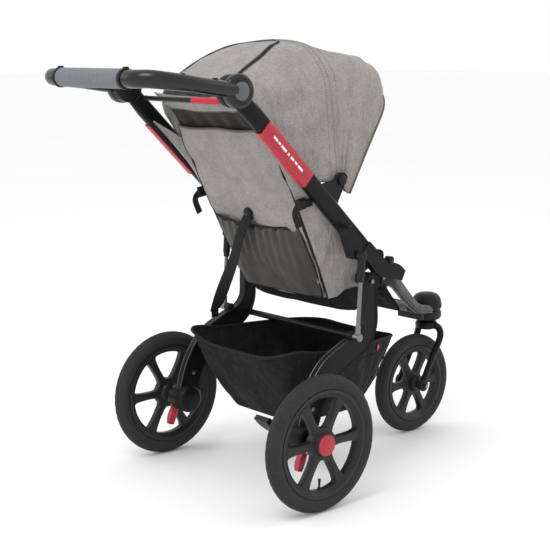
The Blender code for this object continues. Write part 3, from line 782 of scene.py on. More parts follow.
def wheels():
    for side, sign in SIDES:
        body = f"rear_wheel_{side}"
        x = sign * WHEEL_X
        seat = REAR_RADIUS - 0.0205 - 0.0205 * math.cos(math.radians(38))
        tyre(f"rear_tyre_{side}", x, REAR_AXLE, REAR_RADIUS, 0.0205, body)
        rim(f"rear_rim_{side}", x, sign, REAR_AXLE, seat, 0.030, body, 0.0200)
        valve(f"rear_valve_{side}", x, REAR_AXLE, seat, body, 272 if side == "right" else 214)
        cap = [
            (0.0203, 0.0), (0.0203, 0.0245), (0.0222, 0.0262), (0.0240, 0.0255), (0.0252, 0.0225),
            (0.0250, 0.0190), (0.0258, 0.0175), (0.0264, 0.0)
        ]
        build = knob_x(None, [(x + sign * dx, max(r, 0.0002)) for dx, r in cap], REAR_AXLE, 64)
        finish_piece(f"hub_cap_{side}_dome", build, "red_plastic", body, f"hub_cap_{side}", 35)
    seat = FRONT_RADIUS - 0.0195 - 0.0195 * math.cos(math.radians(38))
    tyre("front_tyre", 0.0, FRONT_AXLE, FRONT_RADIUS, 0.0195, "front_wheel")
    rim("front_rim", 0.0, 1, FRONT_AXLE, seat, 0.024, "front_wheel", 0.0260)
    valve("front_valve", 0.0, FRONT_AXLE, seat, "front_wheel", 250)


# ---------------------------------------------------------------- steering and front frame
def fork():
    build = bmesh.new()
    crown = [
        (0.012, 0.2990), (0.024, 0.2995), (0.0305, 0.3030), (0.0320, 0.3080), (0.0320, 0.3175),
        (0.029, 0.3210), (0.020, 0.3255), (0.012, 0.3262)
    ]
    turn_z(build, crown, (0, STEERING_Y))
    for sign in (1, -1):
        run = [
            (0.014, -0.530, 0.312), (0.036, -0.545, 0.307), (0.044, -0.549, 0.284), (0.0445, -0.533, 0.250),
            (0.044, -0.508, 0.210), (0.044, -0.4795, 0.1575)
        ]
        path = catmull([(sign * x, y, z) for x, y, z in run], 7)
        skin(bar_loops(path, np.linspace(0.0102, 0.0088, len(path)), 22), build)
        eye = [
            (0.0365, 0.0055), (0.0365, 0.0150), (0.0385, 0.0172), (0.0495, 0.0172), (0.0515, 0.0150),
            (0.0515, 0.0055)
        ]
        turn_x(build, [(sign * x, r) for x, r in eye], FRONT_AXLE, 40)
    finish_piece("front_fork_tubes", build, "frame_black", "fork", "front_fork", 45)
    build = bmesh.new()
    for sign in (1, -1):
        nut = [(0.0520, 0.0055), (0.0520, 0.0100), (0.0545, 0.0100), (0.0545, 0.0055)]
        turn_x(build, [(sign * x, r) for x, r in nut], FRONT_AXLE, 6)
        turn_x(
            build,
            [
                (sign * x, r)
                for x, r in ((0.0262, 0.0055), (0.0262, 0.0085), (0.0362, 0.0085), (0.0362, 0.0055))
            ],
            FRONT_AXLE, 32
        )
    finish_piece("front_axle_nuts", build, "moulded_black", "fork")


def nose():
    """Steering head with a clamp ring, and the domed knob that locks the swivel."""
    build = bmesh.new()
    head = [
        (0.018, 0.3266), (0.034, 0.3275), (0.0405, 0.3310), (0.0432, 0.3370), (0.0434, 0.3500),
        (0.0405, 0.3545), (0.030, 0.3558)
    ]
    turn_z(build, head, (0, STEERING_Y), 72)
    finish_piece("steering_head", build, "moulded_black", "front_frame", "nose_block", 40)
    build = bmesh.new()
    dome = [
        (0.033, 0.3566), (0.0405, 0.3580), (0.0428, 0.3620), (0.0432, 0.3740), (0.0420, 0.3830),
        (0.0385, 0.3930), (0.0320, 0.4005), (0.0220, 0.4050), (0.0110, 0.4066), (0.001, 0.4068)
    ]
    turn_z(build, dome, (0, STEERING_Y), 72)
    finish_piece("swivel_knob_dome", build, "moulded_black", "swivel_lock", "swivel_lock_knob", 45)
    build = bmesh.new()
    rib_radius = 0.0427
    for k in range(24):
        a = 2 * math.pi * k / 24
        rib_out = (math.cos(a), math.sin(a), 0)
        rib_spot = (rib_radius * rib_out[0], STEERING_Y + rib_radius * rib_out[1], 0.3690)
        rib_axes = (rib_out, (-rib_out[1], rib_out[0], 0), (0, 0, 1))
        block(build, rib_spot, (0.0026, 0.0020, 0.0130), 0.0005, rib_axes)
    finish_piece("swivel_knob_ribs", build, "moulded_black", "swivel_lock")
    build = bmesh.new()
    nose_ends = STEERING_Y + 0.0440
    outline = catmull(
        [
            (0.046, -0.462), (0.046, -0.474), (0.038, nose_ends + 0.010), (0.020, nose_ends + 0.0025),
            (0, nose_ends)
        ],
        4
    )
    half = [tuple(p) for p in outline]
    ring = half + [(-u, v) for u, v in half[::-1][1:]]
    loops = []
    for z, inward in ((0.3382, 0.003), (0.3405, 0.0), (0.3785, 0.0), (0.3815, 0.003)):
        loops.append([(u, v, z) for u, v in inset(ring, inward)])
    skin(loops, build)
    finish_piece("nose_saddle", build, "moulded_black", "front_frame", "nose_bridge", 40)


def castings():
    """Front arms: deep plates at the fold joint that narrow forward and inward to the nose."""
    stations = (  # y, |x| of the middle, bottom z, top z, thickness
        (-0.1105, 0.2152, 0.5100, 0.5655, 0.0245),
        (-0.1350, 0.2130, 0.5040, 0.5560, 0.0245),
        (-0.1650, 0.2080, 0.4960, 0.5390, 0.0245),
        (-0.2000, 0.1930, 0.4760, 0.5195, 0.0240),
        (-0.2800, 0.1500, 0.4310, 0.4710, 0.0240),
        (-0.3850, 0.1000, 0.3790, 0.4090, 0.0230),
        (-0.4700, 0.0640, 0.3620, 0.3860, 0.0220),
        (-0.4880, 0.0560, 0.3580, 0.3800, 0.0200),
    )
    for side, sign in SIDES:
        build = bmesh.new()
        run = catmull(stations, 4)
        loops = []
        for y, x, low, high, thick in run:
            corner = min(0.0085, thick * 0.42)
            section = rounded(thick / 2, (high - low) / 2, corner, 5)
            loops.append([(sign * (x + u), y, (low + high) / 2 + v) for u, v in section])
        skin(loops, build)
        lug = catmull(
            [
                (-0.134, 0.543), (-0.132, 0.512), (-0.100, 0.508), (-0.066, 0.5125), (-0.0345, 0.526),
                (-0.0385, 0.5455), (-0.058, 0.5495), (-0.095, 0.545), (-0.120, 0.560), (-0.134, 0.543)
            ],
            4
        )[:-1]
        low, high = sorted((sign * 0.2062, sign * 0.2262))
        plate(build, lug, low, high, 0.003)
        ear = [(-0.153, 0.548), (-0.150, 0.540), (-0.126, 0.545), *arc(FOLD_PIVOT, 0.0095, -20, 200, 12)]
        low, high = sorted((sign * 0.2158, sign * FRAME_LANE[1]))
        plate(build, ear, low, high, 0.0015)
        finish_piece(f"casting_{side}_arm", build, "frame_black", "front_frame", f"casting_{side}", 42)
        build = bmesh.new()
        for place, size in ((LEG_PIVOT, 0.0085), ((-0.118, 0.528), 0.0052)):
            outer = sign * (0.2262 if place is LEG_PIVOT else 0.2272)
            knob_x(
                build,
                [
                    (outer - sign * 0.004, size), (outer, size), (outer + sign * 0.0008, size * 0.9),
                    (outer + sign * 0.0012, size * 0.5)
                ],
                place, 28
            )
        knob_x(
            build,
            [
                (sign * 0.2270, 0.0062), (sign * 0.2290, 0.0062), (sign * 0.2302, 0.0048),
                (sign * 0.2304, 0.0010)
            ],
            FOLD_PIVOT, 28
        )
        finish_piece(f"casting_bolts_{side}", build, "bare_metal", "front_frame")
        # a shadow groove that follows the arm's outer face
        groove = []
        for y, x, low, high, thick in catmull(stations[2:7], 4):
            groove.append((sign * (x + thick / 2 + 0.0002), y, low + (high - low) * 0.30))
        piping(f"casting_rib_{side}", groove, "moulded_black", "front_frame", 0.0016)
    build = bmesh.new()
    for sign in (1, -1):
        path = [np.array((sign * x, -0.398, 0.388)) for x in (0.060, 0.0695, 0.070, 0.0768)]
        skin(bar_loops(path, [0.0128, 0.0128, 0.0138, 0.0138], 24), build)
    finish_piece("footrest_collars", build, "moulded_black", "front_frame")
    bar(
        "footrest_sleeve", [(x, -0.398, 0.388) for x in np.linspace(-0.0595, 0.0595, 12)], 0.0122,
        "foam_grey", "front_frame", sides=28
    )


# ---------------------------------------------------------------- upper frame
def side_tubes():
    for side, sign in SIDES:
        build = bmesh.new()
        low, high = FRAME_LANE
        loops = []
        for along, outer in (
            (0.0225, high), (0.10, high), (0.30, high), (0.50, high), (tube_length - 0.080, high),
            (tube_length - 0.060, 0.2235), (tube_length - 0.040, 0.2190), (tube_length - 0.01, 0.2188)
        ):
            section = rounded((outer - low) / 2, TUBE_DEPTH / 2, 0.0085, 6)
            loops.append([(sign * ((low + outer) / 2 + u), *on_tube(along, v)) for u, v in section])
        skin(loops, build)
        boss = [
            (0.1930, 0.0), (0.1930, 0.0335), (0.1955, 0.0368), (0.2010, 0.0378), (0.2165, 0.0378),
            (0.2190, 0.0360), (0.2190, 0.0)
        ]
        knob_x(build, [(sign * x, max(r, 0.0003)) for x, r in boss], HUB, 72)
        upper, lower = band(
            [on_tube(0.100), on_tube(0.060), on_tube(0.015, 0.001), (-0.160, 0.5405), (-0.188, 0.5270)],
            (0.040, 0.043, 0.044, 0.041, 0.028), 5
        )
        cover = [*upper, *lower[::-1]]
        plate(build, cover, *sorted((sign * 0.2278, sign * 0.2312)), 0.0014)
        knob_x(
            build,
            [
                (sign * 0.2305, 0.0100), (sign * 0.2325, 0.0100), (sign * 0.2334, 0.0085),
                (sign * 0.2336, 0.0010)
            ],
            FOLD_PIVOT, 36
        )
        upper, lower = band(
            [on_tube(0.020, 0.026), on_tube(0.034, 0.030), on_tube(0.052, 0.018)], (0.010, 0.020, 0.016)
        )
        plate(build, [*upper, *lower[::-1]], *sorted((sign * low, sign * 0.2154)), 0.0015)
        bracket = [
            (-0.021, 0.640), (-0.015, 0.604), (-0.0075, 0.5925), (0.0075, 0.5925), (0.015, 0.604),
            (0.034, 0.650), (0.040, 0.672), (0.015, 0.676)
        ]
        plate(build, ring_of(bracket, 4), *sorted((sign * 0.2200, sign * 0.2530)), 0.0025)
        finish_piece(
            f"side_tube_{side}_sleeve", build, "frame_black", "upper_frame", f"side_tube_{side}", 42
        )
        build = bmesh.new()
        arm = [
            on_tube(0.226, -0.002), on_tube(0.308, -0.002), on_tube(0.306, 0.030),
            *arc(CANOPY_PIVOT, 0.020, 10, 160, 14), on_tube(0.232, 0.030)
        ]
        plate(build, arm, *sorted((sign * 0.1932, sign * 0.2026)), 0.002)
        knob_x(
            build,
            [
                (sign * 0.2020, 0.0125), (sign * 0.2060, 0.0125), (sign * 0.2078, 0.0105),
                (sign * 0.2082, 0.0010)
            ],
            CANOPY_PIVOT, 40
        )
        finish_piece(
            f"canopy_bracket_{side}_arm", build, "moulded_black", "upper_frame", f"canopy_bracket_{side}",
            40
        )
        side_panel(side, sign)
    bow = catmull(
        [
            (-0.1925, 0.318, 0.985), (-0.150, 0.338, 0.985), (0, 0.346, 0.985), (0.150, 0.338, 0.985),
            (0.1925, 0.318, 0.985)
        ],
        8
    )
    bar("rear_bow_tube", bow, 0.0062, "frame_black", "upper_frame", "rear_bow", 20)


def side_panel(side, sign):
    """The red cover on the tube's outer and rear faces, with plain pale dashes along it."""
    inner, outer = FRAME_LANE[1] + 0.0003, FRAME_LANE[1] + 0.0030
    rear, front = -TUBE_DEPTH / 2 - 0.0003, TUBE_DEPTH / 2 - 0.004
    section = [
        (inner, front), (
            inner + 0.0015, front + 0.0008
        ), (outer, front - 0.0012), (outer, 0.0), (outer, rear + 0.002),
        (outer - 0.0010, rear - 0.0016), (outer - 0.004, rear - 0.0028), (
            FRAME_LANE[0] + 0.008, rear - 0.0028
        ), (FRAME_LANE[0] + 0.006, rear - 0.0020),
        (FRAME_LANE[0] + 0.006, rear), (inner, rear),
    ]
    loops = []
    for along, shrink in (
        (0.3652, 0.72), (0.3668, 0.90), (0.372, 1.0), (0.42, 1.0), (0.50, 1.0), (0.548, 1.0),
        (0.5532, 0.90), (0.5548, 0.72)
    ):
        middle_across = (front + rear) / 2
        loops.append(
            [
                (
                    sign * x,
                    *on_tube(
                        along, middle_across + (across - middle_across) * (shrink if across > 0 else 1)
                    )
                )
                for x, across in section
            ]
        )
    finish_piece(
        f"side_panel_{side}_cover", skin(loops), "red_plastic", "upper_frame", f"side_panel_{side}", 35
    )
    build = bmesh.new()
    face = (np.array((0, *ALONG)), np.array((0, *ACROSS)), np.array((sign, 0, 0)))
    for start, length in (
        (0.398, 0.020), (0.422, 0.010), (0.436, 0.014), (0.456, 0.006), (0.468, 0.022), (0.494, 0.008),
        (0.506, 0.016)
    ):
        block(
            build, (sign * (outer + 0.0001), *on_tube(start + length / 2, -0.002)),
            (length, 0.0058, 0.0007), 0.0002, face
        )
    finish_piece(f"side_panel_dashes_{side}", build, "pale_print", "upper_frame")


def rear_legs():
    """Flat uprights down to the knee, then a wide band back to the axle housing."""
    centre = [
        (-0.052, 0.512), (-0.052, 0.470), (-0.050, 0.420), (-0.024, 0.381), (0.035, 0.354), (0.094, 0.320),
        (0.136, 0.264), (0.158, 0.208), (0.168, 0.172)
    ]
    widths = (0.038, 0.038, 0.043, 0.053, 0.060, 0.065, 0.066, 0.064, 0.060)
    for side, sign in SIDES:
        upper, lower = band(centre, widths, 6)
        top = arc((-0.052, 0.530), 0.019, 0, 180, 15)
        first, last = (upper, lower) if upper[0][0] < lower[0][0] else (lower, upper)
        outline = [*first[1:][::-1], *top[::-1], *last[1:]]
        build = bmesh.new()
        plate(build, outline, *sorted((sign * LEG_LANE[0], sign * LEG_LANE[1])), 0.0042)
        housing = [
            (0.2000, 0.0), (0.2000, 0.0300), (0.2030, 0.0345), (0.2080, 0.0362), (0.2300, 0.0362),
            (0.2300, 0.0345), (0.2520, 0.0345), (0.2640, 0.0330), (0.2690, 0.0300), (0.2718, 0.0240),
            (0.2718, 0.0)
        ]
        knob_x(build, [(sign * x, max(r, 0.0003)) for x, r in housing], REAR_AXLE, 72)
        knob_x(
            build,
            [
                (sign * 0.2350, 0.0115), (sign * 0.2515, 0.0115), (sign * 0.2530, 0.0100),
                (sign * 0.2532, 0.0010)
            ],
            STRUT_FOOT, 32
        )
        finish_piece(f"rear_leg_{side}_band", build, "frame_black", "rear_legs", f"rear_leg_{side}", 40)
        # painted highlight: thin bare-metal beads along the band's top edge stand in for the light that the
        # rounded edge catches
        edge_side = upper if upper[30][1] > lower[30][1] else lower
        for offset, label in (
            (sign * (LEG_LANE[0] + 0.0035), "inner"), (sign * (LEG_LANE[1] - 0.0035), "outer")
        ):
            run = [(offset, *(p)) for p in edge_side[22:46]]
            piping(f"leg_edge_{label}_{side}", run, "bare_metal", "rear_legs", 0.0008)
        build = bmesh.new()
        for place in ((0.118, 0.292), (0.150, 0.236), (-0.052, 0.530)):
            for face, out in ((LEG_LANE[1], 1), (LEG_LANE[0], -1)):
                knob_x(
                    build,
                    [
                        (sign * (face - out * 0.001), 0.0058), (sign * (face + out * 0.0008), 0.0058),
                        (sign * (face + out * 0.0016), 0.0042), (sign * (face + out * 0.0016), 0.0006)
                    ],
                    place, 24
                )
        finish_piece(f"leg_bolts_{side}", build, "bare_metal", "rear_legs")
        upper, lower = band(
            [(0.190, 0.138), (0.1975, 0.124), (0.203, 0.110), (0.207, 0.094)], (0.016, 0.020, 0.020, 0.013),
            5
        )
        build = plate(None, [*upper, *lower[::-1]], *sorted((sign * 0.2540, sign * 0.2690)), 0.0035)
        finish_piece(
            f"release_lever_{side}_paddle", build, "red_plastic", f"release_lever_{side}",
            f"release_lever_{side}", 40
        )
    upper, lower = band(
        [(0.176, 0.168), (0.195, 0.176), (0.215, 0.186), (0.236, 0.202), (0.251, 0.216)],
        (0.030, 0.025, 0.019, 0.017, 0.013), 5
    )
    build = plate(None, [*upper, *lower[::-1]], -0.1996, -0.152, 0.003)
    for k in range(4):
        spot = catmull([(0.215, 0.186), (0.236, 0.202), (0.251, 0.216)], 4)[2 + k]
        block(build, (-0.1758, spot[0] - 0.006, spot[1] + 0.0085), (0.036, 0.0022, 0.0022), 0.0006)
    finish_piece("brake_pedal_treadle", build, "moulded_black", "brake_pedal", "brake_pedal", 40)


def struts():
    top, foot = STRUT_TOP, STRUT_FOOT
    heading = (foot - top) / np.linalg.norm(foot - top)
    for side, sign in SIDES:
        x = sign * STRUT_X
        build = bmesh.new()
        steps = (
            (0.004, 0.0072), (0.010, 0.0098), (0.052, 0.0098), (0.056, 0.0085), (0.0655, 0.0080),
            (0.0660, 0.0062)
        )
        skin(
            bar_loops([np.array((x, *(top + heading * d))) for d, _ in steps], [r for _, r in steps], 28),
            build
        )
        knob_x(
            build,
            [
                (sign * 0.2536, 0.0082), (sign * 0.2550, 0.0104), (sign * 0.2730, 0.0104),
                (sign * 0.2744, 0.0082)
            ],
            top, 36
        )
        finish_piece(
            f"strut_sleeve_{side}_barrel", build, "moulded_black", "fold_struts", f"strut_sleeve_{side}", 40
        )
        build = bmesh.new()
        reach = float(np.linalg.norm(foot - top))
        steps = (
            (0.0664, 0.0050), (0.068, 0.0053), (reach - 0.030, 0.0053), (reach - 0.028, 0.0070),
            (reach - 0.004, 0.0070)
        )
        skin(
            bar_loops([np.array((x, *(top + heading * d))) for d, _ in steps], [r for _, r in steps], 28),
            build
        )
        knob_x(
            build,
            [
                (sign * 0.2536, 0.0080), (sign * 0.2550, 0.0100), (sign * 0.2730, 0.0100),
                (sign * 0.2744, 0.0080)
            ],
            foot, 36
        )
        finish_piece(f"strut_rod_{side}_bar", build, "bare_metal", "fold_struts", f"strut_rod_{side}", 40)


# ---------------------------------------------------------------- handle
def handle():
    half = [
        (0.2312, HUB[0] + 0.012, HUB[1] + 0.003), (0.2302, 0.425, 1.0195), (0.2266, 0.495, 1.0295),
        (0.2165, 0.548, 1.0360), (0.1960, 0.581, GRIP_Z), (0.1700, 0.5965, GRIP_Z), (0.1480, GRIP_Y, GRIP_Z),
        (0.1300, GRIP_Y, GRIP_Z), (0.0600, GRIP_Y, GRIP_Z), (0.0, GRIP_Y, GRIP_Z),
    ]
    run = catmull(half + [(-x, y, z) for x, y, z in half[::-1][1:]], 6)
    arm_share = np.clip((0.575 - run[:, 1]) / 0.09, 0, 1)
    radii = 0.0203 - 0.0022 * arm_share
    radii[np.abs(run[:, 0]) < 0.126] = 0.0168
    build = skin(bar_loops(run, radii, 36))
    for side, sign in SIDES:
        low, high = ARM_LANE
        disc = [
            (low, 0.0), (low, 0.0355), (low + 0.0025, 0.0385), (low + 0.006, 0.0395), (high - 0.005, 0.0395),
            (high - 0.0018, 0.0378), (high, 0.0345), (high, 0.0300), (high - 0.0016, 0.0285),
            (high - 0.0016, 0.0248), (high + 0.0002, 0.0236), (high + 0.0002, 0.0222),
            (0.2332, 0.0220), (0.2332, 0.0),
        ]
        knob_x(build, [(sign * x, max(r, 0.0003)) for x, r in disc], HUB, 80)
    finish_piece("handlebar_shell", build, "handle_gloss", "handle", "handlebar", 44)
    for side, sign in SIDES:
        oval = [
            (0.2374, 0.0), (0.2374, 0.0205), (0.2382, 0.0213), (0.2448, 0.0213), (0.2462, 0.0200),
            (0.2470, 0.0160), (0.2474, 0.0)
        ]
        build = knob_x(None, [(sign * x, max(r, 0.0003)) for x, r in oval], HUB, 64)
        finish_piece(
            f"hub_button_{side}_cap", build, "grey_plastic", f"hub_button_{side}", f"hub_button_{side}", 40
        )
        ring = [
            (0.1286, 0.0180), (0.1286, 0.0226), (0.1300, 0.0240), (0.1362, 0.0240), (0.1376, 0.0226),
            (0.1376, 0.0180)
        ]
        build = turn_x(None, [(sign * x, r) for x, r in ring], (GRIP_Y, GRIP_Z), 56)
        block(build, (sign * 0.1331, GRIP_Y, GRIP_Z + 0.0245), (0.0085, 0.0120, 0.0036), 0.001)
        finish_piece(
            f"grip_collar_{side}_ring", build, "moulded_black", "handle", f"grip_collar_{side}", 40
        )
        build = bmesh.new()
        for y, z in ((0.515, 1.0505), (0.430, 1.0395)):
            turn_z(
                build,
                [(0.0075, z - 0.004), (0.0072, z - 0.0005), (0.0055, z + 0.0018), (0.0010, z + 0.0024)],
                (sign * (0.2240 if y > 0.5 else 0.2302), y), 28
            )
        finish_piece(f"arm_studs_{side}", build, "moulded_black", "handle")
    sleeve = []
    for x in np.linspace(-0.1280, 0.1280, 60):
        end = min(1.0, (0.1283 - abs(x)) / 0.004)
        sleeve.append((x, 0.0222 - 0.0018 * (1 - end) ** 2 + 0.00025 * math.cos(x * 2 * math.pi / 0.012)))
    profile = [(-0.1280, 0.0178), *sleeve, (0.1280, 0.0178)]
    finish_piece(
        "handle_grip_foam", turn_x(None, profile, (GRIP_Y, GRIP_Z), 56), "foam_grey", "handle",
        "handle_grip", 50
    )


# ---------------------------------------------------------------- canopy
def hoop(foot, top, lift, reach, bulge, width, lower, columns):
    """Evenly spaced points over the canopy, from the left foot to the right one."""
    foot, top = np.array(foot, float), np.array(top, float)
    length = float(np.linalg.norm(top - foot))
    heading = (top - foot) / length
    forward = np.array((-heading[1], heading[0]))
    high, shoulder = length - lower, CANOPY_SHOULDER - lower
    half = [(width, high * s) for s in np.linspace(0, 1 - shoulder / high, 8)[:-1]]
    for turn in np.linspace(0, math.pi / 2, 12):
        half.append((width - shoulder * (1 - math.cos(turn)), high - shoulder * (1 - math.sin(turn))))
    flat = half[-1][0]
    half = [(x, up + lift * (1 - (max(x, 0) / width) ** 2) * (up / high) ** 6) for x, up in half]
    for share in (0.75, 0.5, 0.25, 0.0):
        x = flat * share
        half.append((x, high + lift * (1 - (x / width) ** 2)))
    full = np.array(half + [(-x, up) for x, up in half[::-1][1:]])
    lengths = np.r_[0, np.cumsum(np.linalg.norm(np.diff(full, axis=0), axis=1))]
    even = np.linspace(0, lengths[-1], columns)
    points = []
    for x, up in zip(np.interp(even, lengths, full[:, 0]), np.interp(even, lengths, full[:, 1])):
        ahead = bulge * math.sin(math.pi * min(up / high, 1)) + reach * (1 - abs(x) / width)
        points.append((x, *(foot + heading * up + forward * ahead)))
    return np.array(points)


HOOD = [
    (on_tube(0.555, 0.024), (0.300, 1.006), 0.034, 0.0, 0.0),
    (on_tube(0.460, 0.006), (0.226, 1.046), 0.034, 0.0, 0.0),
    (on_tube(0.370, 0.000), (0.140, 1.079), 0.036, 0.0, 0.0),
    ((0.008, 0.778), (0.045, 1.094), 0.034, 0.0, 0.0),
]
MAIN = [
    ((0.006, 0.777), (0.043, 1.094), 0.034, 0.0, 0.0),
    ((-0.006, 0.766), (-0.050, 1.088), 0.026, 0.010, 0.0),
    ((-0.017, 0.758), (-0.119, 1.086), 0.012, 0.026, 0.002),
]
VISOR = [
    ((-0.014, 0.758), (-0.114, 1.085), 0.012, 0.027, 0.002),
    ((-0.027, 0.751), (-0.167, 1.064), 0.008, 0.040, 0.002),
    ((-0.036, 0.749), (-0.186, 1.006), 0.006, 0.048, -0.002),
]


def canopy_grid(rows, width, lower, count, columns=64):
    numbers = [(*foot, *top, lift, reach, bulge) for foot, top, lift, reach, bulge in rows]
    run = catmull(numbers, count)
    return np.array([hoop(r[:2], r[2:4], r[4], r[5], r[6], width, lower, columns) for r in run])


def canopy_squash(*pieces):
    for made in pieces:
        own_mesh(made)


def puckers(grid, amount, count, seed):
    """Soft folds that run up from the feet and fade over the shoulders."""
    rows, columns = grid.shape[:2]
    normal = normals_of(grid)
    across = np.abs(np.linspace(-1, 1, columns))
    rng = np.random.default_rng(seed)
    phase = rng.uniform(0, 6.28, 4)
    along = np.linspace(0, 1, rows)[:, None]
    folds = np.sin(
        along * count * 2 * math.pi + phase[0] + 2.2 * across[None]
    ) + 0.5 * np.sin(along * count * 3.7 * math.pi + phase[1] - 3 * across[None])
    fade = np.clip((across - 0.35) / 0.6, 0, 1) ** 1.3 * (1 - np.clip((across - 0.9) / 0.1, 0, 1) * 0.5)
    edge = np.sin(math.pi * np.clip(along, 0, 1)) ** 0.5
    return grid + normal * (folds * fade[None] * edge * amount)[:, :, None]


def sag(grid, amount):
    """Cloth that dips between two ribs."""
    rows = grid.shape[0]
    along = np.sin(math.pi * np.linspace(0, 1, rows))[:, None]
    normal = normals_of(grid)
    centre = grid.mean((0, 1))
    outward = np.sign(np.einsum("ijk,ijk->ij", normal, grid - centre))
    return grid - normal * (outward * along * amount)[:, :, None]


def canopy():
    hood = canopy_grid(HOOD, CANOPY_X + 0.001, 0.0, 12)
    hood = ripple(puckers(hood, 0.0034, 2.6, 3), 9.0, 0.0070, 2.0, held=True)
    main = canopy_grid(MAIN, CANOPY_X - 0.0012, 0.002, 11)
    main = ripple(puckers(sag(main, 0.005), 0.0050, 2.4, 8), 9.0, 0.0060, 7.0, held=True)
    visor = canopy_grid(VISOR, CANOPY_X - 0.0034, 0.004, 8)
    visor = ripple(puckers(visor, 0.0014, 1.5, 5), 9.0, 0.0025, 11.0, held=True)
    for name, grid, body, node in (
        ("canopy_hood", hood, "upper_frame", "canopy_hood"),
        ("canopy_main", main, "canopy_front", "canopy_main"),
        ("canopy_visor", visor, "canopy_visor", "canopy_visor")
    ):
        made = sheet_piece(name + "_cloth", grid, "heather_fabric", body, node)
        edges = [("rear", grid[0]), ("front", grid[-1])]
        extra = []
        for label, row in edges:
            if (name, label) in (
                ("canopy_hood", "rear"), ("canopy_hood", "front"), ("canopy_visor", "front")
            ):
                finish = "heather_fabric" if name == "canopy_hood" else "grey_piping"
                extra.append(
                    piping(
                        f"{name}_{label}_piping", row, finish, body,
                        0.0026 if name != "canopy_visor" else 0.0032
                    )
                )
        foot_rows = [grid[:, 0], grid[:, -1]]
        for k, foot in enumerate(foot_rows):
            extra.append(piping(f"{name}_hem_{k}", foot, "grey_piping", body, 0.0020))
        canopy_squash(made, *extra)
    # the open slit across the hood, from both hubs up to the crown, drawn as a black strip over the cloth:
    # painted shade of the gap
    slit_shares = [0.02, 0.14, 0.30, 0.50, 0.68, 0.82, 0.93, 0.98]
    columns = [0.250, 0.290, 0.335, 0.375, 0.410, 0.440, 0.470, 0.500]
    rows = hood.shape[0] - 1
    for side, mirror in (("right", True), ("left", False)):
        spine = []
        for share, column in zip(slit_shares, columns):
            c = 1 - column if mirror else column
            spine.append(sample(hood, share * rows, c * (hood.shape[1] - 1)))
        spine = catmull(spine, 6)
        normal = outward_of(spine)
        width = 0.0030 + 0.0075 * np.sin(math.pi * np.linspace(0, 1, len(spine))) ** 1.2
        heading = np.gradient(spine, axis=0)
        heading /= np.linalg.norm(heading, axis=1)[:, None]
        across = np.cross(heading, normal)
        build = bmesh.new()
        loops = []
        for p, n, s, w in zip(spine, normal, across, width):
            loops.append(
                [p + n * 0.0012 + s * w / 2, p + n * 0.0026, p + n * 0.0012 - s * w / 2, p - n * 0.0006]
            )
        skin(loops, build)
        made = finish_piece(f"hood_slit_{side}", build, "black_fabric", "upper_frame")
        lip = piping(
            f"hood_slit_lip_{side}",
            spine + normal * 0.0022 + across * (width / 2)[:, None] * (-1 if mirror else 1), "grey_piping",
            "upper_frame", 0.0016
        )
        canopy_squash(made, lip)
    # seam and stitches on both sides of the middle rib
    for label, row, body in (
        ("rib_rear", hood[-3], "upper_frame"), ("rib_front", main[3], "canopy_front"),
        ("hem", visor[-5], "canopy_visor")
    ):
        normal = outward_of(row)
        made = stitching(f"canopy_{label}_stitches", row + normal * 0.0006, normal, body)
        canopy_squash(made)


def outward_of(run):
    """Unit vectors from inside the canopy through each point."""
    inside = np.array((0.0, 0.06, 0.86))
    out = run - inside
    out[:, 0] *= 0.6
    return out / np.linalg.norm(out, axis=1)[:, None]


def sample(grid, row, column):
    i, j = int(min(row, grid.shape[0] - 1.001)), int(min(column, grid.shape[1] - 1.001))
    u, v = row - i, column - j
    return (
        grid[i, j] * (1 - u) * (1 - v) + grid[i + 1, j] * u * (1 - v)
        + grid[i, j + 1] * (1 - u) * v + grid[i + 1, j + 1] * u * v
    )


# ---------------------------------------------------------------- seat, wings and harness
def across_back(share, half, out, columns=33):
    """A row of points over the backrest, its ends curling towards the seat."""
    row = []
    for u in np.linspace(-1, 1, columns):
        row.append((half * u, *on_back(share, out - 0.005 * abs(u) ** 8)))
    return row


def backrest():
    widths = [(0.02, 0.156), (0.25, 0.168), (0.60, 0.176), (0.90, 0.177), (1.0, 0.170)]
    shares = np.linspace(0.02, 1.0, 44)
    half = np.interp(shares, *zip(*widths))
    rear = np.array([across_back(s, h, -0.0005) for s, h in zip(shares, half)])
    rear = ripple(rear, 7.0, 0.0085, 4.0, np.array((0.7, 1, 1.5)))
    rear = ripple(rear, 20.0, 0.0030, 9.0, np.array((0.5, 1, 1.6)))
    made = sheet_piece("backrest_cover", rear, "heather_fabric", "backrest", thick=0.002)
    for label, column in (("right", rear[:, 0]), ("left", rear[:, -1])):
        piping(f"backrest_piping_{label}", column, "black_webbing", "backrest", 0.0028)
    piping("backrest_top_piping", rear[-1], "grey_piping", "backrest", 0.0030)
    for label, offset in (("low", -5), ("high", -8)):
        row = rear[offset] + np.array((0, *OUT_BACK)) * 0.0006
        stitching(f"backrest_stitches_{label}", row, (0, *OUT_BACK), "backrest")
    loops = []
    for share, width in ((0.04, 0.142), (0.25, 0.153), (0.60, 0.160), (0.90, 0.160), (0.985, 0.152)):
        section = rounded(width, 0.0085, 0.0080, 4)
        loops.append([(u, *on_back(share, -0.0180 + v)) for u, v in section])
    pad = inflated("backrest_pad", skin(loops), "heather_fabric", "backrest", "backrest", 0.008, 0.005)
    for side, sign in SIDES:
        path = [
            (sign * 0.052, *on_back(0.80, -0.033)), (sign * 0.050, *on_back(0.60, -0.035)),
            (sign * 0.040, *on_back(0.40, -0.037)), (sign * 0.024, *on_back(0.26, -0.040))
        ]
        strap(f"shoulder_strap_{side}", path, (0, *-OUT_BACK), 0.034, "black_webbing", "backrest", 0.006)


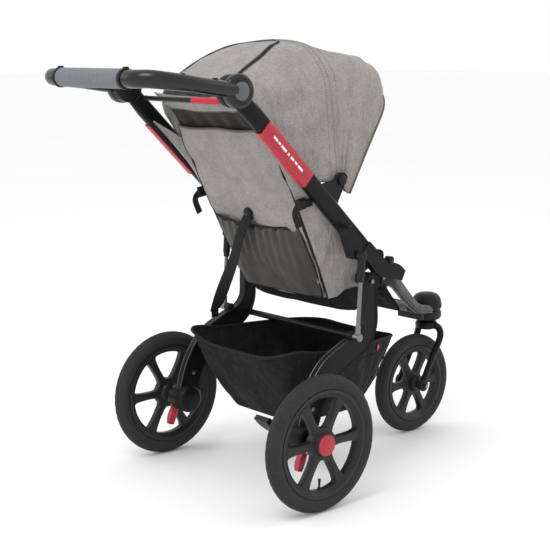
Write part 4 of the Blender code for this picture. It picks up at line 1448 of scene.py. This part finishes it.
def pocket():
    """Gathered mesh over the lower backrest, with a dark elastic along its open top."""
    stations = [
        (0.035, 0.150, 0.005), (0.12, 0.156, 0.014), (0.22, 0.160, 0.020), (0.34, 0.163, 0.018),
        (0.44, 0.161, 0.009), (0.463, 0.160, 0.0065)
    ]
    rows = []
    for share, half, depth in catmull(stations, 6):
        row = []
        for u in np.linspace(-1, 1, 70):
            dip = 0.030 * (1 - u * u) * max(0.0, (share - 0.20) / 0.263)
            swell = depth * (1 - abs(u) ** 3.5) + 0.0022
            pleat = 0.0022 * math.sin(34 * u + 5 * share) * (share / 0.463) ** 2 * (1 - u * u) ** 0.5
            row.append((half * u, *on_back(share - dip, swell + pleat)))
        rows.append(row)
    grid = ripple(np.array(rows), 12.0, 0.0040, 6.0)
    made = sheet_piece("mesh_pocket_net", grid, "mesh_fabric", "backrest", "mesh_pocket", 0.0012)
    top = grid[-1] + np.array((0, *OUT_BACK)) * 0.0006
    extra = [
        strap("pocket_elastic", top[::4], (0, *OUT_BACK), 0.013, "black_webbing", "backrest", 0.0024, 2)
    ]
    for label, column in (("right", grid[:, 0]), ("left", grid[:, -1])):
        extra.append(piping(f"pocket_edge_{label}", column, "black_webbing", "backrest", 0.0022))
    extra.append(piping("pocket_foot", grid[0], "black_webbing", "backrest", 0.0022))


def tether():
    """The round cord lock on the backrest and its webbing down to the left rear leg."""
    centre = np.array((0.012, *on_back(0.515, 0.002)))
    out, up = np.array((0, *OUT_BACK)), np.array((0, *UP_BACK))
    build = bmesh.new()
    loops = []
    for lift, radius in (
        (0, 0.0118), (0.002, 0.0130), (0.0085, 0.0132), (0.0118, 0.0110), (0.0138, 0.0060), (0.0142, 0.0008)
    ):
        loops.append(
            [
                centre + out * lift + radius * (math.cos(a) * np.array((1, 0, 0)) + math.sin(a) * up)
                for a in np.linspace(0, 2 * math.pi, 36, endpoint=False)
            ]
        )
    skin(loops, build)
    block(
        build, centre - up * 0.014 + out * 0.006, (0.016, 0.012, 0.008), 0.0015,
        ((1, 0, 0), tuple(up), tuple(out))
    )
    finish_piece("cord_lock_dome", build, "moulded_black", "backrest", "cord_lock", 45)
    path = [
        centre - up * 0.012 + out * 0.012, (0.036, 0.140, 0.640), (0.085, 0.125, 0.560),
        (0.145, 0.106, 0.488), (0.195, 0.088, 0.432), (0.2235, 0.078, 0.402)
    ]
    facing = [(0, 0.9, -0.3), (0, 1, 0), (-0.2, 1, 0), (-0.6, 0.8, 0), (-0.9, 0.4, 0), (-1, 0.1, 0)]
    made = strap("tether_webbing", path, facing, 0.032, "black_webbing", "backrest", 0.0020, 6)
    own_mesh(made)
    build = bmesh.new()
    block(build, (0.2262, 0.076, 0.396), (0.0030, 0.024, 0.030), 0.0012)
    finish_piece("tether_tab", build, "black_webbing", "rear_legs")


WING_LANE = (0.1785, 0.1985)  # |x| where the wing leaves the backrest and where it meets the tube


def wing_row(seam, sign, columns=31):
    """Out from the backrest's edge in the first tenth, then evenly across the lane to the tube.

    Its |x| alone says how far along it is.
    """
    row = []
    for u in np.linspace(0, 1, columns):
        if u < 0.1:
            x = seam[0] + (WING_LANE[0] - seam[0]) * u / 0.1
        else:
            x = WING_LANE[0] + (WING_LANE[1] - WING_LANE[0]) * (u - 0.1) / 0.9
        row.append((sign * x, *((1 - u) * seam[1:3] + u * seam[3:])))
    return row


def soft_folds(made, strength=0.009, size=0.055):
    """Folds over the middle of a wing, as a modifier, so that the mesh's own |x| stays as built."""
    spots = np.array([v.co for v in made.data.vertices])
    share = np.clip((np.abs(spots[:, 0]) - WING_LANE[0]) / (WING_LANE[1] - WING_LANE[0]), 0, 1)
    group = made.vertex_groups.new(name="middle")
    for number, weight in enumerate(4 * share * (1 - share)):
        group.add([number], float(weight), "REPLACE")
    clouds = bpy.data.textures.new(made.name + "_folds", "CLOUDS")
    clouds.noise_scale = size
    folds = made.modifiers.new("Folds", "DISPLACE")
    folds.texture, folds.vertex_group, folds.strength = clouds, group.name, strength
    made.modifiers.move(len(made.modifiers) - 1, 0)


def wings():
    for side, sign in SIDES:
        seams = [
            (0.1585, *on_back(0.02, -0.005), *on_tube(0.030, -0.016)),
            (0.1685, *on_back(0.22, -0.005), *on_tube(0.150, -0.014)),
            (0.1745, *on_back(0.45, -0.005), *on_tube(0.300, -0.012)),
            (0.1780, *on_back(0.68, -0.005), *on_tube(0.430, -0.012)),
            (0.1780, *on_back(0.91, -0.005), *on_tube(0.560, -0.012)),
        ]
        grid = np.array([wing_row(seam, sign) for seam in catmull(seams, 9)])
        made = sheet_piece(
            f"side_wing_{side}_cloth", grid, "heather_fabric", None, f"side_wing_{side}", 0.0016
        )
        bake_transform(made)
        soft_folds(made)
        extra = [
            piping(f"wing_piping_{side}", grid[:, 0], "black_webbing", "backrest", 0.0026),
            piping(f"wing_tube_piping_{side}", grid[:, -1], "grey_piping", "upper_frame", 0.0022),
        ]
        for label, row in (("lower", grid[0]), ("upper", grid[-1])):
            hem = piping(f"wing_{label}_hem_{side}", row, "light_binding", None, 0.0024)
            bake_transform(hem)
            extra.append(hem)
        recline_strap(side, sign)


def recline_strap(side, sign):
    """Webbing that sets the recline, from the tube to the backrest's edge, with its slide buckle."""
    start, end = on_tube(0.300, -0.018), on_back(0.60, 0.006)
    x = sign * 0.2005
    path = [(x, *start), (x, *((start * 2 + end) / 3)), (x, *((start + 2 * end) / 3)), (sign * 0.190, *end)]
    made = strap(f"recline_strap_{side}", path, (sign, 0, 0), 0.020, "black_webbing", None, 0.0016)
    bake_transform(made)
    build = bmesh.new()
    heading = (start - end) / np.linalg.norm(start - end)
    spot = end + heading * 0.012
    cross = np.array((-heading[1], heading[0]))
    block(
        build, (sign * 0.1945, *spot), (0.030, 0.028, 0.006), 0.0018,
        ((0, *heading), (0, *cross), (sign, 0, 0))
    )
    finish_piece(f"recline_buckle_{side}", build, "moulded_black", "backrest")
    tail = [
        (sign * 0.1960, *(spot - heading * 0.008)),
        (sign * 0.1970, *(spot - heading * 0.030 - UP_BACK * 0.018)),
        (sign * 0.1960, *(spot - heading * 0.034 - UP_BACK * 0.058))
    ]
    strap(f"recline_tail_{side}", tail, (sign, 0, 0), 0.018, "black_webbing", "backrest", 0.0015)


def seat():
    outline = [
        (-0.008, 0.488), (-0.018, 0.470), (-0.070, 0.4515), (-0.125, 0.4550), (-0.196, 0.4760),
        (-0.224, 0.486), (-0.222, 0.494), (-0.205, 0.499), (-0.180, 0.4995), (-0.09, 0.497)
    ]
    ring = ring_of(outline, 4)
    loops = []
    for x, shrink in (
        (-0.144, 0.006), (-0.138, 0.0), (-0.05, 0.0), (0.05, 0.0), (0.138, 0.0), (0.144, 0.006)
    ):
        points = inset(ring, shrink)
        loops.append(
            [(x * (1.0 if y > -0.1 else 1.0 - 0.12 * min(1, (-0.1 - y) / 0.06)), y, z) for y, z in points]
        )
    made = inflated("seat_cushion", skin(loops), "heather_fabric", "front_frame", "seat_base", 0.007, 0.004)
    sling = catmull(
        [
            (-0.003, 0.486), (-0.011, 0.460), (-0.070, 0.4390), (-0.125, 0.4440), (-0.203, 0.4670),
            (-0.230, 0.4810)
        ],
        6
    )
    grid = np.array(
        [
            [
                (u * (0.149 if y > -0.1 else 0.136), y, z - 0.002 * (1 - u * u))
                for u in np.linspace(-1, 1, 30)
            ]
            for y, z in sling
        ]
    )
    grid = ripple(grid, 14.0, 0.0020, 8.0)
    under = sheet_piece("seat_sling", grid, "black_fabric", "front_frame", thick=0.0016)
    for side, sign in SIDES:
        edge = ring_of(
            [
                (-0.004, 0.487), (-0.012, 0.460), (-0.068, 0.4400), (-0.100, 0.4415), (-0.104, 0.4940),
                (-0.060, 0.4955)
            ],
            4
        )
        finish_piece(
                f"seat_skirt_{side}", plate(None, edge, *sorted((sign * 0.1503, sign * 0.1520)), 0.0006),
                "black_fabric", "front_frame"
            )
    ring = ring_of(
        [
            (-0.238, 0.480), (-0.238, 0.471), (-0.272, 0.432), (-0.305, 0.3985), (-0.312, 0.404),
            (-0.280, 0.442), (-0.248, 0.480)
        ],
        4
    )
    build = plate(None, ring, -0.103, 0.103, 0.003)
    calf = finish_piece("calf_panel_pad", build, "black_fabric", "front_frame", "calf_panel", 50)
    loops = []
    for z, half_x, half_y in (
        (0.541, 0.017, 0.0070), (0.545, 0.0205, 0.0085), (0.560, 0.0205, 0.0085), (0.578, 0.018, 0.0075),
        (0.584, 0.013, 0.0060)
    ):
        loops.append([(u, -0.0885 + v, z) for u, v in rounded(half_x, half_y, 0.0055, 5)])
    finish_piece("harness_buckle_shell", skin(loops), "moulded_black", "front_frame", "harness_buckle", 42)
    build = block(
        None, (0, -0.0988, 0.5625), (0.017, 0.018, 0.0044), 0.0015, ((1, 0, 0), (0, 0, 1), (0, 1, 0))
    )
    finish_piece("buckle_button_face", build, "red_plastic", "buckle_button", "buckle_button", 40)
    strap(
        "crotch_webbing",
        [(0, -0.089, 0.4972), (0, -0.089, 0.510), (0, -0.089, 0.525), (0, -0.089, 0.5392)], (0, -1, 0),
        0.0255, "black_webbing", "front_frame", 0.0028
    )


def vent():
    """The light band across the hood's open rear and the dark looped strip behind it."""
    top, foot = np.array((0.297, 0.996)), np.array((0.262, 0.962))
    rows = []
    for share in np.linspace(0, 1, 9):
        point = foot + (top - foot) * share
        rows.append(
            [
                (
                    0.183 * u, point[0] + 0.010 * (1 - u * u) + 0.002 * math.sin(9 * u),
                    point[1] - 0.006 * (1 - u * u)
                )
                for u in np.linspace(-1, 1, 40)
            ]
        )
    grid = ripple(np.array(rows), 14.0, 0.003, 5.0)
    made = sheet_piece("vent_flap", grid, "heather_fabric", "upper_frame", thick=0.0016)
    extra = [
        piping("vent_flap_foot", grid[0], "grey_piping", "upper_frame", 0.0024),
        piping("vent_flap_top", grid[-1], "light_binding", "upper_frame", 0.0024)
    ]
    canopy_squash(made, *extra)
    low, high = on_back(0.985, -0.010), np.array((0.256, 0.956))
    rows = []
    for share in np.linspace(0, 1, 8):
        point = low + (high - low) * share
        rows.append(
            [
                (0.172 * u, point[0] + 0.004 * math.sin(18 * u) * math.sin(math.pi * share), point[1])
                for u in np.linspace(-1, 1, 48)
            ]
        )
    grid = np.array(rows)
    made = sheet_piece("vent_lining", grid, "lining", None, thick=0.0014)
    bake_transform(made)
    bow = [
        (-0.150, 0.338, 0.985), (-0.110, 0.3425, 0.985), (-0.070, 0.3450, 0.985), (-0.040, 0.3458, 0.985)
    ]
    bar("bow_pull_tab", catmull(bow, 4), 0.0088, "red_webbing", "upper_frame", flat=0.85)


# ---------------------------------------------------------------- storage basket
def basket():
    rim_plan = [
        (0, 0.190, 0.342), (0.110, 0.189, 0.345), (0.190, 0.184, 0.366), (0.202, 0.150, 0.370),
        (0.203, 0.080, 0.358), (0.199, -0.050, 0.353), (0.174, -0.170, 0.351), (0.138, -0.243, 0.345),
        (0.070, -0.251, 0.341), (0, -0.251, 0.340)
    ]
    foot_plan = [
        (0, 0.098), (0.070, 0.098), (0.112, 0.094), (0.124, 0.070), (0.128, 0.030), (0.128, -0.040),
        (0.122, -0.110), (0.103, -0.152), (0.050, -0.159), (0, -0.160)
    ]
    columns = 96
    rim_ring, foot_ring = even_ring(rim_plan, columns), even_ring([(*p, 0.160) for p in foot_plan], columns)
    rows = []
    for share in np.linspace(0, 1, 22):
        line = rim_ring * (1 - share) + foot_ring * share
        bulge = 0.010 * math.sin(math.pi * share)
        out = line[:, :2] - line[:, :2].mean(0)
        out /= np.linalg.norm(out, axis=1)[:, None]
        line = line.copy()
        line[:, :2] += out * bulge
        rows.append(line)
    for shrink in (0.93, 0.75, 0.5, 0.25, 0.02):
        line = foot_ring.copy()
        centre = line.mean(0)
        line = centre + (line - centre) * shrink
        line[:, 2] = 0.1585
        rows.append(line)
    grid = np.array(rows)
    around = np.linspace(0, 2 * math.pi, columns, endpoint=False)
    depth = np.sin(math.pi * np.clip(np.linspace(0, 27 / 22, 27), 0, 1)) ** 0.8
    folds = np.sin(9 * around + 1.0)[None] * 0.0022 + np.sin(
        17 * around + 4 * np.linspace(0, 1, 27)[:, None]
    ) * 0.0014
    out = grid - grid.mean((0, 1))
    out[:, :, 2] = 0
    out /= np.linalg.norm(out, axis=2)[:, :, None] + 1e-9
    creases = np.array(
        [[noise.fractal(Vector(p * 13.0), 0.8, 2.0, 3) for p in row] for row in grid]
    ) * 0.007
    grid = grid + out * ((folds + creases) * depth[:, None])[:, :, None]
    made = sheet_piece("basket_cloth", grid, "black_fabric", "front_frame", "storage_basket", 0.0020, True)
    ring = np.concatenate([grid[0], grid[0][:1]])
    extra = [piping("basket_rim_binding", ring, "black_webbing", "front_frame", 0.0040)]
    band_row = np.concatenate([grid[4], grid[4][:1]])
    facing = np.concatenate([out[4], out[4][:1]])
    extra.append(stitching("basket_band_stitches", band_row + facing * 0.0016, facing, "front_frame"))
    extra.append(
        piping("basket_band_seam", band_row + facing * 0.0008, "black_webbing", "front_frame", 0.0014)
    )
    for k, column in enumerate((14, 38, 58, 82)):
        extra.append(
            piping(
                f"basket_seam_{k}", grid[:22, column] + out[:22, column] * 0.0008, "black_webbing",
                "front_frame", 0.0015
            )
        )
    build = bmesh.new()
    spot, heading = grid[2, 63], out[2, 63]
    side = np.cross((0, 0, 1), heading)
    block(
        build, spot + heading * 0.003, (0.030, 0.013, 0.0016), 0.0005,
        (tuple(side), (0, 0, 1), tuple(heading))
    )
    finish_piece("basket_red_tag", build, "red_webbing", "front_frame")


def even_ring(half, columns):
    """A closed ring, mirrored from its left half and evenly spaced."""
    half = catmull(half, 6)
    other = half[::-1][1:-1] * np.array((-1, 1, 1))
    ring = np.concatenate([half, other, half[:1]])
    lengths = np.r_[0, np.cumsum(np.linalg.norm(np.diff(ring, axis=0), axis=1))]
    even = np.linspace(0, lengths[-1], columns, endpoint=False)
    return np.stack([np.interp(even, lengths, ring[:, k]) for k in range(3)], 1)


# ---------------------------------------------------------------- camera, light and floor
def stage():
    scene = bpy.context.scene
    lens = bpy.data.cameras.new("camera")
    lens.lens, lens.sensor_width = 81.9, 36.0
    camera = bpy.data.objects.new("camera", lens)
    camera.location = (-2.4228, 2.1635, 1.0933)
    aim = Vector((0.0, 0.0543, 0.5257)) - camera.location
    camera.rotation_mode = "QUATERNION"
    camera.rotation_quaternion = aim.to_track_quat("-Z", "Y")
    scene.collection.objects.link(camera)
    scene.camera = camera
    floor_finish = Finish("floor", 0.9)
    floor_finish.link(
        floor_finish.ramp(
            floor_finish.noise(0.6, 1.0), (0.3, (0.955, 0.955, 0.955)), (0.7, (0.97, 0.97, 0.97))
        ),
        "Base Color"
    )
    build = bmesh.new()
    bmesh.ops.create_grid(build, x_segments=2, y_segments=2, size=60.0)
    mesh = bpy.data.meshes.new("floor")
    build.to_mesh(mesh)
    build.free()
    mesh.materials.append(floor_finish.material)
    floor = bpy.data.objects.new("floor", mesh)
    scene.collection.objects.link(floor)
    world = bpy.data.worlds.new("studio")
    world.use_nodes = True
    world.node_tree.nodes["Background"].inputs["Color"].default_value = (1, 1, 1, 1)
    world.node_tree.nodes["Background"].inputs["Strength"].default_value = 1.0
    scene.world = world
    scene.view_settings.view_transform = "Standard"
    for name, place, size, power in (
        ("key", (-0.6, 2.2, 3.4), 1.6, 44.0), (
            "left_fill", (2.6, 2.6, 2.2), 2.0, 10.0
        ), ("front", (-1.6, -3.2, 2.8), 2.0, 18.0),
    ):
        light = bpy.data.lights.new(name, "AREA")
        light.size, light.energy = size, power
        lamp = bpy.data.objects.new(name, light)
        lamp.location = place
        lamp.rotation_mode = "QUATERNION"
        lamp.rotation_quaternion = (Vector((0, 0, 0.5)) - lamp.location).to_track_quat("-Z", "Y")
        scene.collection.objects.link(lamp)


materials()
stage()
wheels()
fork()
nose()
castings()
side_tubes()
rear_legs()
struts()
handle()
canopy()
backrest()
pocket()
tether()
wings()
seat()
vent()
basket()

CARRIED_FINISHES = {  # CAD nodes that stay, with their finish
    "seat_cross_bar": "frame_black", "footrest_bar": "frame_black", "leg_cross_tube": "frame_black",
    "rear_axle_left": "bare_metal", "rear_axle_right": "bare_metal", "front_axle": "bare_metal",
}
for node, finish in CARRIED_FINISHES.items():
    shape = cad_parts[node]
    shape.data.materials.clear()
    shape.data.materials.append(FINISHES[finish])
